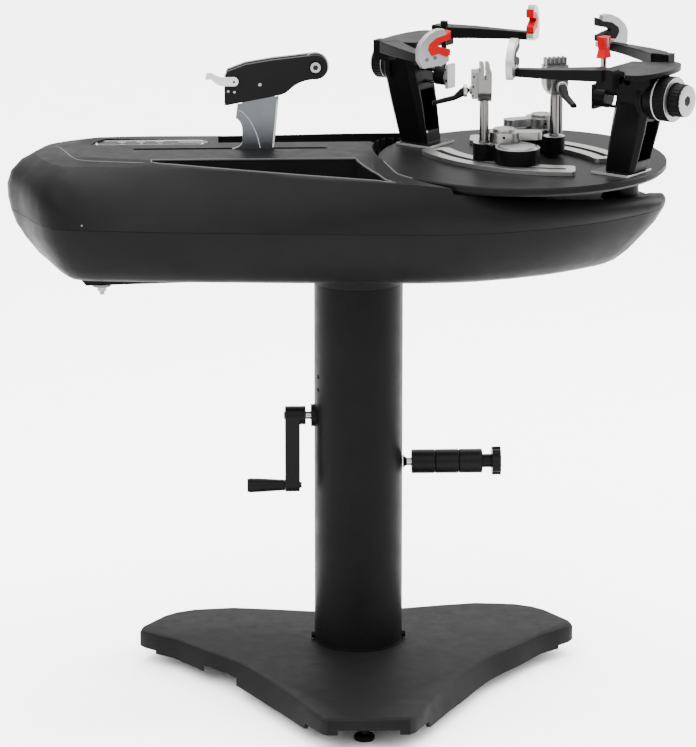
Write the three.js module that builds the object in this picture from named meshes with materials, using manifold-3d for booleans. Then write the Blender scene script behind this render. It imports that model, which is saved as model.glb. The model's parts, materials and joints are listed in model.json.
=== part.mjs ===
// Racket stringing machine on a height-adjustable column stand.
// Millimetres, +Z up. X runs along the machine from the string tensioner to the turntable,
// and Y points away from the operator.

import * as THREE from 'three';
import { mergeVertices } from 'three/addons/utils/BufferGeometryUtils.js';
import Module from 'manifold-3d';

const wasm = await Module();
wasm.setup();

// Driving dimensions

const clearance = 0.3;
const overrun = 2;
const weld = 1e-4;

// The column axis stands here from the middle of the whole machine.
const columnSeat = { x: 20, y: 79 };

const base = {
  top: 52,
  skirtBottom: 20,
  tipBottom: 25,
  tipInset: 22,
  frontLip: 35,
  frontPadBottom: 28,
  frontPadInner: 43,
  frontDepth: 52,
  notchBottom: 29,
  notchLeft: 233,
  notchRight: 190,
  halfSpan: 333,
  frontReach: 373,
  backReach: 162,
  backReachRight: 172,
  flare: 9,
  wall: 5,
  edgeRound: 6,
  bossRadius: 22,
};

const foot = {
  radius: 15.5,
  padHeight: 9,
  stemRadius: 6,
  frontX: -4,
  frontInset: 60,
  rearX: 240,
  rearY: 108,
  bossBottom: 34,
  stemTop: 44,
};

const column = {
  radius: 66.5,
  wall: 5,
  top: 612,
  flangeRadius: 68,
  flangeHeight: 3,
  lugRadius: 5,
  lugHeight: 6,
};

const collar = { height: 14, bore: 59.8, spigot: 12, spigotWall: 1.4 };

const innerColumn = {
  radius: 59,
  wall: 4,
  bottom: 92,
  flangeRadius: 76,
  flangeThickness: 7,
  slotWidth: 32,
  slotAbove: 35,
  bushRadius: 61.2,
  bushHeight: 26,
};

const rack = { width: 10, depth: 8, pitch: 8.4, toothHeight: 4, faceShare: 0.36, bottom: 110, above: 20 };

const pinion = { teeth: 8, toothHeight: 3.6, width: 12 };

const crank = {
  height: 405,
  shaftRadius: 6,
  bearingRadius: 17,
  bearingReach: 5,
  hubRadius: 14,
  hubLength: 31,
  hubGap: 13,
  armThickness: 22,
  armTipThickness: 18,
  armLength: 109,
  armTipRadius: 10,
  gripLength: 57,
  gripRootRadius: 8.2,
  gripEndRadius: 11,
  axleRadius: 4,
  rivetRadius: 4.5,
  rivetHeight: 3,
};

const reel = {
  height: 331,
  spindleRadius: 6,
  bossRadius: 11,
  bossLength: 6,
  standOff: 13.5,
  sleeveRadius: 18.2,
  sleeveLength: 35.4,
  sleeveEdge: 1.2,
  sleeves: 3,
  knobNeckRadius: 10.2,
  knobNeckLength: 14.5,
  knobRadius: 22,
  knobThickness: 13,
  knobLobes: 12,
  knobLobeDepth: 2.2,
};

const hull = {
  left: 515,
  length: 971,
  halfWidth: 198,
  bottom: 640,
  seam: 727,
  deck: 815,
  bulge: 9,
  wall: 4,
  samples: 2,
  lowDeck: 745,
  recessGap: 7,
  discGap: 1.5,
  lip: 8,
};

const tray = { floor: 776, back: 77, rearFront: 43, lip: 6, wall: 3.5, rearGap: 15, strip: 40 };

const slot = { width: 11 };

const panel = {
  fromTail: 123,
  length: 170,
  front: 33,
  back: 70,
  depth: 4,
  thickness: 2.6,
  chamfer: 9,
  keyWidth: 15,
  keyDepth: 8,
  keyHeight: 2.2,
  keyHole: 0.5,
  keyPitch: 28,
  firstKey: 42,
  stem: 3,
};

const underplate = { fromTail: 103, right: 110, halfWidth: 88, thickness: 10, taper: 3, nose: 8 };

const chassis = {
  fromTail: 130,
  width: 130,
  thickness: 5,
  flange: 26,
  railPastSlot: 18,
  railWidth: 22,
  railHeight: 16,
};

const motor = { length: 62, radius: 27, bracket: 6, shaftHeight: 36, offset: 30 };

const screw = { radius: 6, pastRail: 10, supportWidth: 14, supportThickness: 8 };

const carriage = { length: 84, width: 58, height: 34, nutRadius: 15, bladeGrip: 9 };

const blade = {
  thickness: 8,
  top: 893,
  topLeft: 23,
  topRight: 38,
  neckLeft: 16,
  footHalf: 31,
  tongueTop: 899,
  tongueLeft: 16,
  tongueRight: 32,
};

const gripper = {
  nose: { reach: 92, z: 938.5, radius: 18 },
  tailReach: 42,
  thickness: 9,
  gap: 10,
  jawTravel: 3,
  pinRadius: 3,
  rollerRadius: 20,
  boltRadius: 8,
  boltHead: 2.5,
};

const lever = { back: 28, z: 918.5, width: 13, thickness: 4, reach: 40, drop: 7 };

const disc = {
  noseGap: -1,
  top: 798,
  radius: 215,
  thickness: 13,
  edge: 2,
  turn: -38,
  hubRadius: 25,
  hubDepth: 104,
};

const bearing = { radius: 44, flangeRadius: 57, flangeHeight: 10, top: 775 };

const brake = { y: -36, radius: 27, height: 28, ringHeight: 4, ringGrow: 1.5, stem: 8 };

const rail = {
  arc: 221,
  middle: 86,
  width: 46,
  thickness: 6.5,
  slotWidth: 11,
  slotInset: 14,
  reach: 125,
  endRound: 9,
};

// Places on the deck: shares of the room between the hull's tail and the disc.
const deckShares = { trayLeft: 0.38561, slotLeft: 0.33395, slotRight: 0.86531, blade: 0.66236 };

// Places between the column's axis and the hull's nose.
const noseShares = { chassis: 0.69737, brake: 0.84649 };

const hullTail = -hull.left;
const hullNose = hullTail + hull.length;
const discX = hullNose - disc.radius - disc.noseGap;

function deckX(share) {
  return mix(hullTail, discX - disc.radius, share);
}

const slotLeft = deckX(deckShares.slotLeft);
const slotRight = deckX(deckShares.slotRight);
const bladeMiddle = deckX(deckShares.blade);
const panelLeft = hullTail + panel.fromTail;
const panelRight = panelLeft + panel.length;
const railLeft = slotLeft - chassis.railPastSlot;
const railRight = slotRight + chassis.railPastSlot;

// A clamp's base joins a post socket, a locking hub and a capped foot: [u, v] places from the disc's middle.
const clampPlaces = {
  front: { socket: [-22, -68], hub: [-2, -46], cap: [33, -61], lockTurn: 38, lockReach: 46, headTurn: -90 },
  rear: { socket: [-36, -32], hub: [17, -78], cap: [33, -64], lockTurn: 57, lockReach: 50, headTurn: 17 },
};

const clampBase = {
  socketRadius: 16,
  hubRadius: 25,
  capRadius: 33,
  height: 25,
  capInset: 4,
  capLift: 2,
  tongue: 5,
  tongueWidth: 9,
  tongueLength: 30,
};

const lockLever = {
  radius: 24,
  height: 15,
  discRadius: 16,
  discHeight: 4,
  width: 19,
  tipWidth: 22,
  armHeight: 12,
  swing: 50,
};

const post = { radius: 5.4, rodRadius: 2.8, rodOffset: 10, collarRadius: 8, collarHeight: 3, top: 893 };

const clampHead = {
  width: 35,
  depth: 20,
  height: 55,
  teeth: 5,
  toothHeight: 11,
  toothGapShare: 0.42,
  plate: 5,
  plateInset: 3,
  spread: 8,
  corner: 9,
  cover: 9,
  coverWidth: 26,
  coverBottom: 4,
  coverTop: 44,
};

const jawLever = {
  length: 54,
  hub: 6,
  root: 13,
  rootDepth: 17,
  tip: 9,
  tipDepth: 6,
  drop: 19,
  height: 15,
  collar: 3,
};

const tower = {
  foot: { inner: 143, outer: 205, halfWidth: 33, thickness: 2.5 },
  topHeight: 152.5,
  plateThickness: 6.5,
  plateInner: 170,
  plateOuter: { right: 252, left: 232 },
  plateHalfWidth: 66,
  knobHeight: 118,
  bossRadius: 35,
  bossReach: { right: 241, left: 238 },
  pocketHalfWidth: 17,
  pocketBottom: 22,
  pocketTop: 84,
  webShare: 0.76,
  webThickness: 7,
  boreDepth: 212,
};

const rackRod = { radius: 5, height: 143, near: 190, far: 203, inner: 22 };

const armRoot = {
  u: 196,
  v: 76,
  halfLength: 14,
  halfWidth: 9,
  top: 167,
  depth: 29,
  barDepth: 17,
  barHalf: 15,
  bow: 5,
};

const bracket = {
  u: 68,
  v: 129,
  width: 57,
  height: 55,
  thickness: 10,
  bottom: 149,
  bar: 7,
  barTop: 13,
  barLift: 2,
  padProud: 0.5,
};

const bigKnob = { radius: 33, length: 22, sleeveRadius: 14, sleeveDepth: 14, ribs: 36, ribDepth: 0.9 };

const soloKnob = { radius: 25.5, length: 19, face: 1.5, ribs: 32 };

const smallKnob = { radius: 24, length: 17, capRadius: 23, cap: 3.5, shaftRadius: 6, shaftDepth: 30, ribs: 28 };

const support = {
  u: 131,
  drumRadius: 15,
  drumLength: 20,
  plate: 4,
  plateHalfWidth: 10,
  plateHeight: 36,
  height: 108,
  rodRadius: 6.2,
  rodEnd: 205,
  thinRadius: 2.4,
  thinDrop: 12,
  pinU: 151,
  pinRadius: 4,
  pegTop: 190,
  pegRadius: 6,
  pegHeight: 9,
};

const yoke = { bottom: 166, height: 31, width: 21, waist: 11, thickness: 13, slot: 3.5, slotDepth: 16 };

// Colours and surfaces taken from the machine

const finishes = {
  castPowder: [0x3a3a3c, 0.62, 0.15],
  columnPaint: [0x19191a, 0.5, 0.15],
  hullPlastic: [0x333335, 0.55, 0],
  blackPlastic: [0x161617, 0.45, 0],
  discPlate: [0x3c3d3f, 0.5, 0.35],
  steel: [0xb9b4ac, 0.28, 0.95],
  brushed: [0x8f9396, 0.38, 0.9],
  cast: [0xc6c6c4, 0.42, 0.8],
  red: [0xe3252b, 0.5, 0],
  white: [0xe4e4e2, 0.4, 0],
  key: [0xb4b7b8, 0.5, 0],
  panel: [0x6f7173, 0.5, 0.1],
  darkSteel: [0x55575a, 0.45, 0.8],
};

function finish(name) {
  const [color, roughness, metalness] = finishes[name];
  return new THREE.MeshStandardMaterial({ color, roughness, metalness });
}

// Solids

function solid(geometry) {
  const bare = geometry.index ? geometry.clone() : geometry;
  bare.deleteAttribute('normal');
  bare.deleteAttribute('uv');
  const merged = mergeVertices(bare, weld);
  return new wasm.Manifold(new wasm.Mesh({
    numProp: 3,
    vertProperties: new Float32Array(merged.attributes.position.array),
    triVerts: new Uint32Array(merged.index.array),
  }));
}

function geometryOf(body) {
  const mesh = body.getMesh();
  const geometry = new THREE.BufferGeometry();
  geometry.setAttribute('position', new THREE.BufferAttribute(new Float32Array(mesh.vertProperties), 3));
  geometry.setIndex(Array.from(mesh.triVerts));
  geometry.computeVertexNormals();
  return geometry;
}

function radians(angle) {
  return angle * Math.PI / 180;
}

function mix(from, to, share) {
  return from + (to - from) * share;
}

function box(x0, x1, y0, y1, z0, z1) {
  const geometry = new THREE.BoxGeometry(x1 - x0, y1 - y0, z1 - z0);
  geometry.translate((x0 + x1) / 2, (y0 + y1) / 2, (z0 + z1) / 2);
  return solid(geometry);
}

// A round bar along Z between two heights.
function upright(radius, z0, z1, x = 0, y = 0, sides = 24) {
  const geometry = new THREE.CylinderGeometry(radius, radius, z1 - z0, sides);
  geometry.rotateX(Math.PI / 2);
  geometry.translate(x, y, (z0 + z1) / 2);
  return solid(geometry);
}

// A round bar along X between two stations.
function alongX(radius, x0, x1, y = 0, z = 0, sides = 24, endRadius = radius) {
  const geometry = new THREE.CylinderGeometry(endRadius, radius, x1 - x0, sides);
  geometry.rotateZ(-Math.PI / 2);
  geometry.translate((x0 + x1) / 2, y, z);
  return solid(geometry);
}

// A round bar along Y between two stations.
function alongY(radius, y0, y1, x = 0, z = 0, sides = 24) {
  const geometry = new THREE.CylinderGeometry(radius, radius, y1 - y0, sides);
  geometry.translate(x, (y0 + y1) / 2, z);
  return solid(geometry);
}

// A solid turned about Z from [radius, height] points that start and end on the axis.
function turned(points, sides = 48) {
  const profile = points.map(([r, z]) => new THREE.Vector2(r, z));
  const geometry = new THREE.LatheGeometry(profile, sides);
  geometry.rotateX(Math.PI / 2);
  return solid(geometry);
}

// A plate: an outline in the XY plane raised between two heights.
function slab(shape, z0, z1, curveSegments = 8) {
  const geometry = new THREE.ExtrudeGeometry(shape, { depth: z1 - z0, bevelEnabled: false, curveSegments });
  geometry.translate(0, 0, z0);
  return solid(geometry);
}

// A side plate: an outline in the XZ plane standing between two Y stations.
function sidePlate(shape, y0, y1, curveSegments = 8) {
  const geometry = new THREE.ExtrudeGeometry(shape, { depth: y1 - y0, bevelEnabled: false, curveSegments });
  geometry.rotateX(Math.PI / 2);
  geometry.translate(0, y1, 0);
  return solid(geometry);
}

// A closed outline through points; neighbours that fall together count once.
function outline(points) {
  const apart = points.filter(([x, y], i) => {
    const [lastX, lastY] = points.at(i - 1);
    return Math.hypot(x - lastX, y - lastY) > weld;
  });
  return new THREE.Shape(apart.map(([x, y]) => new THREE.Vector2(x, y)));
}

// Points along an arc, both ends included.
function arc(x, y, radius, from, to, steps) {
  return Array.from({ length: steps + 1 }, (_, i) => {
    const angle = mix(from, to, i / steps);
    return [x + radius * Math.cos(angle), y + radius * Math.sin(angle)];
  });
}

// The outline moved outwards by a distance; anticlockwise points.
function grown(points, distance) {
  return points.map(([x, y], i) => {
    const before = points[(i + points.length - 1) % points.length];
    const after = points[(i + 1) % points.length];
    const tangent = new THREE.Vector2(after[0] - before[0], after[1] - before[1]).normalize();
    return [x + tangent.y * distance, y - tangent.x * distance];
  });
}

// The faces that close a ring from side to side, for ends that are crowned.
function crownedEnd(ring) {
  const count = ring.length;
  const faces = [];
  for (let i = 0; i < Math.floor(count / 2); i += 1) {
    const far = count - i - 1;
    const near = (count - i) % count;
    faces.push([i, i + 1, far], [i, far, near]);
  }
  return faces.filter((corners) => new Set(corners).size === 3);
}

// The faces that close a level ring of any outline.
function levelEnd(ring) {
  return THREE.ShapeUtils.triangulateShape(ring.map(([x, y]) => new THREE.Vector2(x, y)), []);
}

// A skin over matching closed rings of [x, y, z] points.
function loft(rings, closing = crownedEnd) {
  const count = rings[0].length;
  const positions = rings.flat(2);
  const indices = [];
  for (let ring = 0; ring + 1 < rings.length; ring += 1) {
    for (let i = 0; i < count; i += 1) {
      const a = ring * count + i;
      const b = ring * count + (i + 1) % count;
      indices.push(a, b, b + count, a, b + count, a + count);
    }
  }
  const last = rings.length - 1;
  for (const corners of closing(rings[last])) {
    indices.push(...corners.map((k) => k + last * count));
  }
  for (const corners of closing(rings[0])) {
    indices.push(...corners.reverse());
  }
  const geometry = new THREE.BufferGeometry();
  geometry.setAttribute('position', new THREE.Float32BufferAttribute(positions, 3));
  geometry.setIndex(indices);
  return solid(geometry);
}

function union(...parts) {
  return parts.reduce((sum, part) => sum.add(part));
}

function moved(body, { x = 0, y = 0, z = 0, turn = 0 }) {
  const geometry = geometryOf(body);
  geometry.rotateZ(radians(turn));
  geometry.translate(x, y, z);
  return solid(geometry);
}

function mirroredY(body) {
  const geometry = geometryOf(body);
  const position = geometry.attributes.position;
  for (let i = 0; i < position.count; i += 1) {
    position.setY(i, -position.getY(i));
  }
  const index = geometry.index.array;
  for (let i = 0; i < index.length; i += 3) {
    [index[i], index[i + 1]] = [index[i + 1], index[i]];
  }
  return solid(geometry);
}

const machine = new THREE.Group();
machine.position.set(columnSeat.x, columnSeat.y, 0);

function addPiece(name, body, finishName, parent = machine) {
  const mesh = new THREE.Mesh(geometryOf(body), finish(finishName));
  mesh.name = name;
  parent.add(mesh);
  return mesh;
}

// Stand

// Half outline of the cast base, as shares of its half span and of its reach to the front or back.
const baseShares = [
  [0.06, -1], [0.18, -1], [0.205, -0.975], [0.27, -0.83], [0.34, -0.67], [0.411, -0.536], [0.48, -0.41],
  [0.555, -0.29], [0.63, -0.205], [0.7, -0.137], [0.77, -0.06], [0.844, 0.049], [0.92, 0.17], [0.98, 0.28],
  [1, 0.36], [0.99, 0.46], [0.895, 0.765], [0.84, 0.87], [0.75, 0.957], [0.57, 1], [0.4, 0.945], [0.21, 0.864],
  [0.07, 0.852],
];

function baseOutline(inset) {
  const place = ([x, y], side) => {
    const back = side < 0 ? base.backReach : base.backReachRight;
    return [side * x * base.halfSpan, y * (y < 0 ? base.frontReach : back)];
  };
  const right = baseShares.map((share) => place(share, 1));
  const left = baseShares.map((share) => place(share, -1)).reverse();
  return grown([...right, ...left], -inset);
}

// Along the concave sides the skirt flares out towards the floor.
function skirtRing(inset, z) {
  return baseOutline(inset).map(([x, y]) => {
    const along = (y + base.frontReach) / base.frontReach;
    const hollow = along > 0 && along < 1 ? Math.sin(Math.PI * along) : 0;
    return [x + Math.sign(x) * hollow * base.flare, y - hollow * base.flare, z];
  });
}

function basePlate() {
  const ring = (inset, z) => baseOutline(inset).map(([x, y]) => [x, y, z]);
  const outer = loft([
    skirtRing(0, base.skirtBottom),
    ring(0, base.top - base.edgeRound),
    ring(base.edgeRound / 3, base.top - base.edgeRound / 3),
    ring(base.edgeRound, base.top),
  ], levelEnd);
  const inner = loft([
    skirtRing(base.wall, base.skirtBottom - overrun),
    ring(base.wall, base.top - base.wall),
  ], levelEnd);
  let body = outer.subtract(inner);
  const span = base.halfSpan;
  const front = -base.frontReach;
  const cutters = [
    skirtCut(-span, span, front, front + base.frontDepth, base.frontPadBottom),
    skirtCut(-base.frontPadInner, base.frontPadInner, front, front + base.frontDepth, base.frontLip),
    skirtCut(-base.notchLeft, -base.notchRight, front, 0, base.notchBottom),
    skirtCut(-span, base.tipInset - span, -base.backReach, base.backReach, base.tipBottom),
    skirtCut(span - base.tipInset, span, -base.backReach, base.backReach, base.tipBottom),
  ];
  for (const cutter of cutters) {
    body = body.subtract(cutter);
  }
  for (const [x, y] of footPlaces()) {
    body = body.add(upright(base.bossRadius, foot.bossBottom, base.top - base.wall / 2, x, y, 16));
    body = body.subtract(upright(foot.stemRadius + clearance, foot.bossBottom - overrun, foot.stemTop + clearance * 2,
      x, y, 14));
  }
  return body;
}

function skirtCut(x0, x1, y0, y1, height) {
  return box(x0 - overrun, x1 + overrun, y0 - overrun, y1 + overrun, base.skirtBottom - overrun * 2, height);
}

function footPlaces() {
  return [[foot.frontX, foot.frontInset - base.frontReach], [-foot.rearX, foot.rearY], [foot.rearX, foot.rearY]];
}

function levellingFoot(x, y) {
  const edge = foot.padHeight / 4;
  return moved(turned([
    [0, 0], [foot.radius - edge, 0], [foot.radius, edge], [foot.radius, foot.padHeight - edge],
    [foot.radius - edge, foot.padHeight], [foot.stemRadius, foot.padHeight], [foot.stemRadius, foot.stemTop],
    [0, foot.stemTop],
  ], 12), { x, y });
}

function outerColumn() {
  const bottom = base.top + clearance;
  let body = upright(column.radius, bottom, column.top, 0, 0, 40);
  body = body.add(upright(column.flangeRadius, bottom, bottom + column.flangeHeight / 2, 0, 0, 34));
  for (const side of [-1, 1]) {
    body = body.add(alongX(column.lugRadius, -column.lugRadius, column.lugRadius,
      0, 0, 16).translate([side * column.radius, 0, bottom + column.lugHeight]));
  }
  body = body.subtract(upright(column.radius - column.wall, bottom - overrun, column.top + overrun, 0, 0, 34));
  body = body.add(alongX(crank.bearingRadius, -column.radius - crank.bearingReach, -column.radius + column.wall / 2,
    0, crank.height, 32));
  body = body.subtract(alongX(crank.shaftRadius + clearance, -column.radius - column.lugRadius * 2,
    -innerColumn.radius, 0, crank.height, 24));
  return body;
}

function columnCollar() {
  const z = column.top + clearance;
  return turned([
    [collar.bore, z - collar.spigot], [collar.bore + collar.spigotWall, z - collar.spigot],
    [collar.bore + collar.spigotWall, z], [column.radius, z], [column.radius, z + collar.height - collar.spigotWall],
    [column.radius - collar.spigotWall, z + collar.height], [collar.bore, z + collar.height],
    [collar.bore, z - collar.spigot],
  ], 34);
}

function innerColumnTube() {
  const top = hull.bottom + hull.wall + clearance;
  let body = upright(innerColumn.radius, innerColumn.bottom, top + innerColumn.flangeThickness, 0, 0, 34);
  body = body.add(upright(innerColumn.bushRadius, innerColumn.bottom, innerColumn.bottom + innerColumn.bushHeight,
    0, 0, 34));
  body = body.add(upright(innerColumn.flangeRadius, top, top + innerColumn.flangeThickness, 0, 0, 34));
  body = body.subtract(upright(innerColumn.radius - innerColumn.wall, innerColumn.bottom - overrun,
    top + innerColumn.flangeThickness + overrun, 0, 0, 40));
  const halfSlot = innerColumn.slotWidth / 2;
  body = body.subtract(box(-innerColumn.radius - overrun * 3, -innerColumn.radius / 2, -halfSlot, halfSlot,
    innerColumn.bottom - overrun, crank.height + innerColumn.slotAbove));
  return body.add(liftRack());
}

// The lift rack stands inside the slotted tube, beside the crank's pinion, with its teeth towards it.
function liftRack() {
  const back = pinionRadius() + rack.toothHeight + rack.depth;
  const front = back - rack.depth;
  const x0 = -innerColumn.radius + innerColumn.wall;
  const shape = new THREE.Shape();
  shape.moveTo(back, rack.bottom);
  const top = crank.height + rack.above;
  const count = Math.floor((top - rack.bottom) / rack.pitch);
  const flat = rack.pitch * rack.faceShare / 2;
  for (let i = 0; i < count; i += 1) {
    const z = crank.height + (i - Math.floor((crank.height - rack.bottom) / rack.pitch)) * rack.pitch;
    shape.lineTo(front, z - flat * 1.6);
    shape.lineTo(front - rack.toothHeight, z - flat / 2);
    shape.lineTo(front - rack.toothHeight, z + flat / 2);
    shape.lineTo(front, z + flat * 1.6);
  }
  shape.lineTo(back, top);
  const geometry = new THREE.ExtrudeGeometry(shape, { depth: rack.width, bevelEnabled: false });
  geometry.applyMatrix4(new THREE.Matrix4().makeBasis(
    new THREE.Vector3(0, 1, 0), new THREE.Vector3(0, 0, 1), new THREE.Vector3(1, 0, 0)));
  geometry.translate(x0, 0, 0);
  return solid(geometry);
}

function pinionRadius() {
  return rack.pitch * pinion.teeth / (2 * Math.PI);
}

// The crank's pinion meshes with the rack; a tooth gap faces the rack tooth at the crank's height.
function pinionGear(x0, x1) {
  const root = pinionRadius() - pinion.toothHeight / 2 - clearance;
  const tip = pinionRadius() + pinion.toothHeight / 2 - clearance;
  const shape = new THREE.Shape();
  const step = Math.PI * 2 / pinion.teeth;
  for (let i = 0; i < pinion.teeth; i += 1) {
    const middle = (i + 0.5) * step;
    for (const [radius, angleShare] of [[root, -0.34], [tip, -0.13], [tip, 0.13], [root, 0.34]]) {
      const angle = middle + angleShare * step;
      const point = [radius * Math.cos(angle), radius * Math.sin(angle)];
      if (i === 0 && angleShare === -0.34) {
        shape.moveTo(...point);
      } else {
        shape.lineTo(...point);
      }
    }
  }
  shape.closePath();
  const geometry = new THREE.ExtrudeGeometry(shape, { depth: x1 - x0, bevelEnabled: false });
  geometry.applyMatrix4(new THREE.Matrix4().makeBasis(
    new THREE.Vector3(0, 1, 0), new THREE.Vector3(0, 0, 1), new THREE.Vector3(1, 0, 0)));
  geometry.translate(x0, 0, crank.height);
  return solid(geometry);
}

const crankFace = -column.radius - crank.hubGap;

function crankShaft() {
  const inner = -innerColumn.radius + innerColumn.wall;
  const shaft = alongX(crank.shaftRadius, crankFace - crank.hubLength * 0.8, inner + pinion.width, 0, crank.height, 18);
  return shaft.add(pinionGear(inner, inner + pinion.width - clearance));
}

function crankArm() {
  const hubEnd = crankFace - crank.hubLength;
  const hub = alongX(crank.hubRadius, hubEnd, crankFace, 0, crank.height, 24);
  const tipZ = crank.height - crank.armLength;
  const rise = radians(2);
  const armShape = outline([
    ...arc(0, crank.height, crank.hubRadius, -rise, Math.PI + rise, 14),
    ...arc(0, tipZ, crank.armTipRadius, Math.PI + rise, Math.PI * 2 - rise, 12),
  ]);
  const arm = new THREE.ExtrudeGeometry(armShape, { depth: crank.armThickness, bevelEnabled: false });
  arm.applyMatrix4(new THREE.Matrix4().makeBasis(
    new THREE.Vector3(0, 1, 0), new THREE.Vector3(0, 0, 1), new THREE.Vector3(1, 0, 0)));
  arm.translate(hubEnd, 0, 0);
  let body = hub.add(solid(arm));
  body = body.subtract(alongX(crank.shaftRadius + clearance, hubEnd + crank.hubLength * 0.15, crankFace + overrun,
    0, crank.height, 24));
  body = body.add(alongX(crank.axleRadius, hubEnd - crank.gripLength * 0.9, hubEnd + overrun, 0, tipZ, 14));
  return body.add(alongX(crank.rivetRadius, hubEnd + crank.armThickness - overrun,
    hubEnd + crank.armThickness + crank.rivetHeight, 0, tipZ, 16));
}

function crankGrip() {
  const start = crankFace - crank.hubLength - clearance;
  const tipZ = crank.height - crank.armLength;
  const profile = [
    [crank.axleRadius + clearance, 0], [crank.gripRootRadius, 0],
    [mix(crank.gripRootRadius, crank.gripEndRadius, 0.7), crank.gripLength * 0.6],
    [crank.gripEndRadius, crank.gripLength * 0.92], [crank.gripEndRadius * 0.9, crank.gripLength],
    [0, crank.gripLength], [0, crank.gripLength * 0.93], [crank.axleRadius + clearance, crank.gripLength * 0.93],
    [crank.axleRadius + clearance, 0],
  ].map(([r, z]) => new THREE.Vector2(r, z));
  const geometry = new THREE.LatheGeometry(profile, 24);
  geometry.rotateZ(Math.PI / 2);
  geometry.translate(start, 0, tipZ);
  return solid(geometry);
}

const firstSleeve = column.radius + reel.standOff;

function reelSpindle() {
  const start = column.radius + clearance;
  const end = firstSleeve + reel.sleeves * (reel.sleeveLength + clearance) + reel.knobNeckLength
    + reel.knobThickness * 0.6;
  return alongX(reel.spindleRadius, start, end, 0, reel.height, 24)
    .add(alongX(reel.bossRadius, start, start + reel.bossLength, 0, reel.height, 28, reel.spindleRadius))
    .subtract(upright(column.radius + clearance, reel.height - reel.bossRadius * 2, reel.height + reel.bossRadius * 2,
      0, 0, 46));
}

function reelSleeve(index) {
  const x = firstSleeve + index * (reel.sleeveLength + clearance);
  const profile = [
    [reel.spindleRadius + clearance, 0], [reel.sleeveRadius - reel.sleeveEdge, 0], [reel.sleeveRadius, reel.sleeveEdge],
    [reel.sleeveRadius, reel.sleeveLength - reel.sleeveEdge], [reel.sleeveRadius - reel.sleeveEdge, reel.sleeveLength],
    [reel.spindleRadius + clearance, reel.sleeveLength], [reel.spindleRadius + clearance, 0],
  ].map(([r, z]) => new THREE.Vector2(r, z));
  const geometry = new THREE.LatheGeometry(profile, 28);
  geometry.rotateZ(-Math.PI / 2);
  geometry.translate(x, 0, reel.height);
  return solid(geometry);
}

function starKnob() {
  const start = firstSleeve + reel.sleeves * (reel.sleeveLength + clearance);
  const face = start + reel.knobNeckLength;
  const shape = new THREE.Shape();
  const steps = reel.knobLobes * 4;
  const points = [];
  for (let i = 0; i < steps; i += 1) {
    const angle = i / steps * Math.PI * 2;
    const radius = reel.knobRadius - reel.knobLobeDepth * (1 - Math.cos(angle * reel.knobLobes)) / 2;
    points.push(new THREE.Vector2(radius * Math.cos(angle), radius * Math.sin(angle)));
  }
  shape.setFromPoints(points);
  const wheel = new THREE.ExtrudeGeometry(shape, { depth: reel.knobThickness, bevelEnabled: false });
  wheel.rotateY(Math.PI / 2);
  wheel.translate(face, 0, reel.height);
  const neck = alongX(reel.knobNeckRadius, start, face + overrun, 0, reel.height, 20);
  const bore = alongX(reel.spindleRadius + clearance, start - overrun, face + reel.knobThickness * 0.7,
    0, reel.height, 18);
  return neck.add(solid(wheel)).subtract(bore);
}

// Hull

// Stations round half of the seam: share of the hull's length, share of its half width,
// share of the bulge, and share of the nose's rounder profile.
const seamShares = [
  [0, 0, 0.7, 1], [0.0124, 0.141, 0.7, 1], [0.035, 0.424, 0.7, 1], [0.066, 0.687, 0.6, 0.9], [0.109, 0.763, 0.5, 0.5],
  [0.145, 0.785, 0.45, 0.3],
  [0.2145, 0.838, 0.4, 0.1], [0.334, 0.889, 0.35, 0], [0.437, 0.944, 0.5, 0], [0.5565, 0.98, 0.7, 0],
  [0.6446, 1, 0.9, 0], [0.737, 0.95, 1, 0.3], [0.862, 0.707, 1, 0.6], [0.942, 0.43, 0.8, 0.6],
  [0.9876, 0.212, 0.4, 0.6], [1, 0, 0.3, 0.6],
];

// The deck's edge at the same stations: share of length, of half width, and of the height over the seam.
const ridgeShares = [
  [0.0694, 0, 1], [0.0705, 0.121, 1], [0.0777, 0.222, 1], [0.0933, 0.288, 0.985], [0.119, 0.323, 0.966],
  [0.146, 0.363, 0.963],
  [0.2176, 0.465, 0.955], [0.3347, 0.636, 0.92], [0.4383, 0.758, 0.875], [0.5565, 0.889, 0.83],
  [0.658, 0.9545, 0.76], [0.7306, 0.869, 0.545], [0.85, 0.707, 0.42], [0.93, 0.424, 0.3],
  [0.978, 0.192, 0.23], [0.994, 0, 0.18],
];

// The rear edge is wider and higher beside the console and lower at the tip: added share of half width and height.
const rearShares = {
  4: [0.02, 0.07], 5: [0.045, 0.06], 6: [0.02, 0.042], 13: [0, -0.13], 14: [0, -0.21],
};

// How the side climbs from seam to ridge: share of the height, share of the way in at the side and at the nose.
const flankShares = [
  [0, 0, 0], [0.22, 0.17, 0], [0.44, 0.38, 0.02], [0.66, 0.62, 0.1], [0.84, 0.83, 0.28], [0.95, 0.95, 0.56], [1, 1, 1],
];

// How the tub draws in below the seam: share of its depth, of the left and right length and of the width.
const tubShares = [
  [0, 1, 1, 1], [0.25, 0.985, 0.972, 0.975], [0.5, 0.958, 0.93, 0.93], [0.75, 0.925, 0.885, 0.865],
  [0.9, 0.895, 0.85, 0.8], [0.97, 0.872, 0.82, 0.74], [1, 0.845, 0.78, 0.67],
];

// Where the tub's own tip begins: share of the way from the column to the tail.
const tubTipShare = 0.62;

function closedHalf(front, rear) {
  return [...front, ...rear.slice(1, -1).reverse()];
}

function sampled(points) {
  const curve = new THREE.CatmullRomCurve3(points.map((p) => new THREE.Vector3(...p)), true, 'centripetal');
  const count = points.length * hull.samples;
  return Array.from({ length: count }, (_, i) => curve.getPoint(i / count).toArray());
}

function seamRing() {
  const half = seamShares.map(([x, y]) => [x * hull.length - hull.left, y * hull.halfWidth, hull.seam]);
  return sampled(closedHalf(half.map(([x, y, z]) => [x, -y, z]), half));
}

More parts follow.
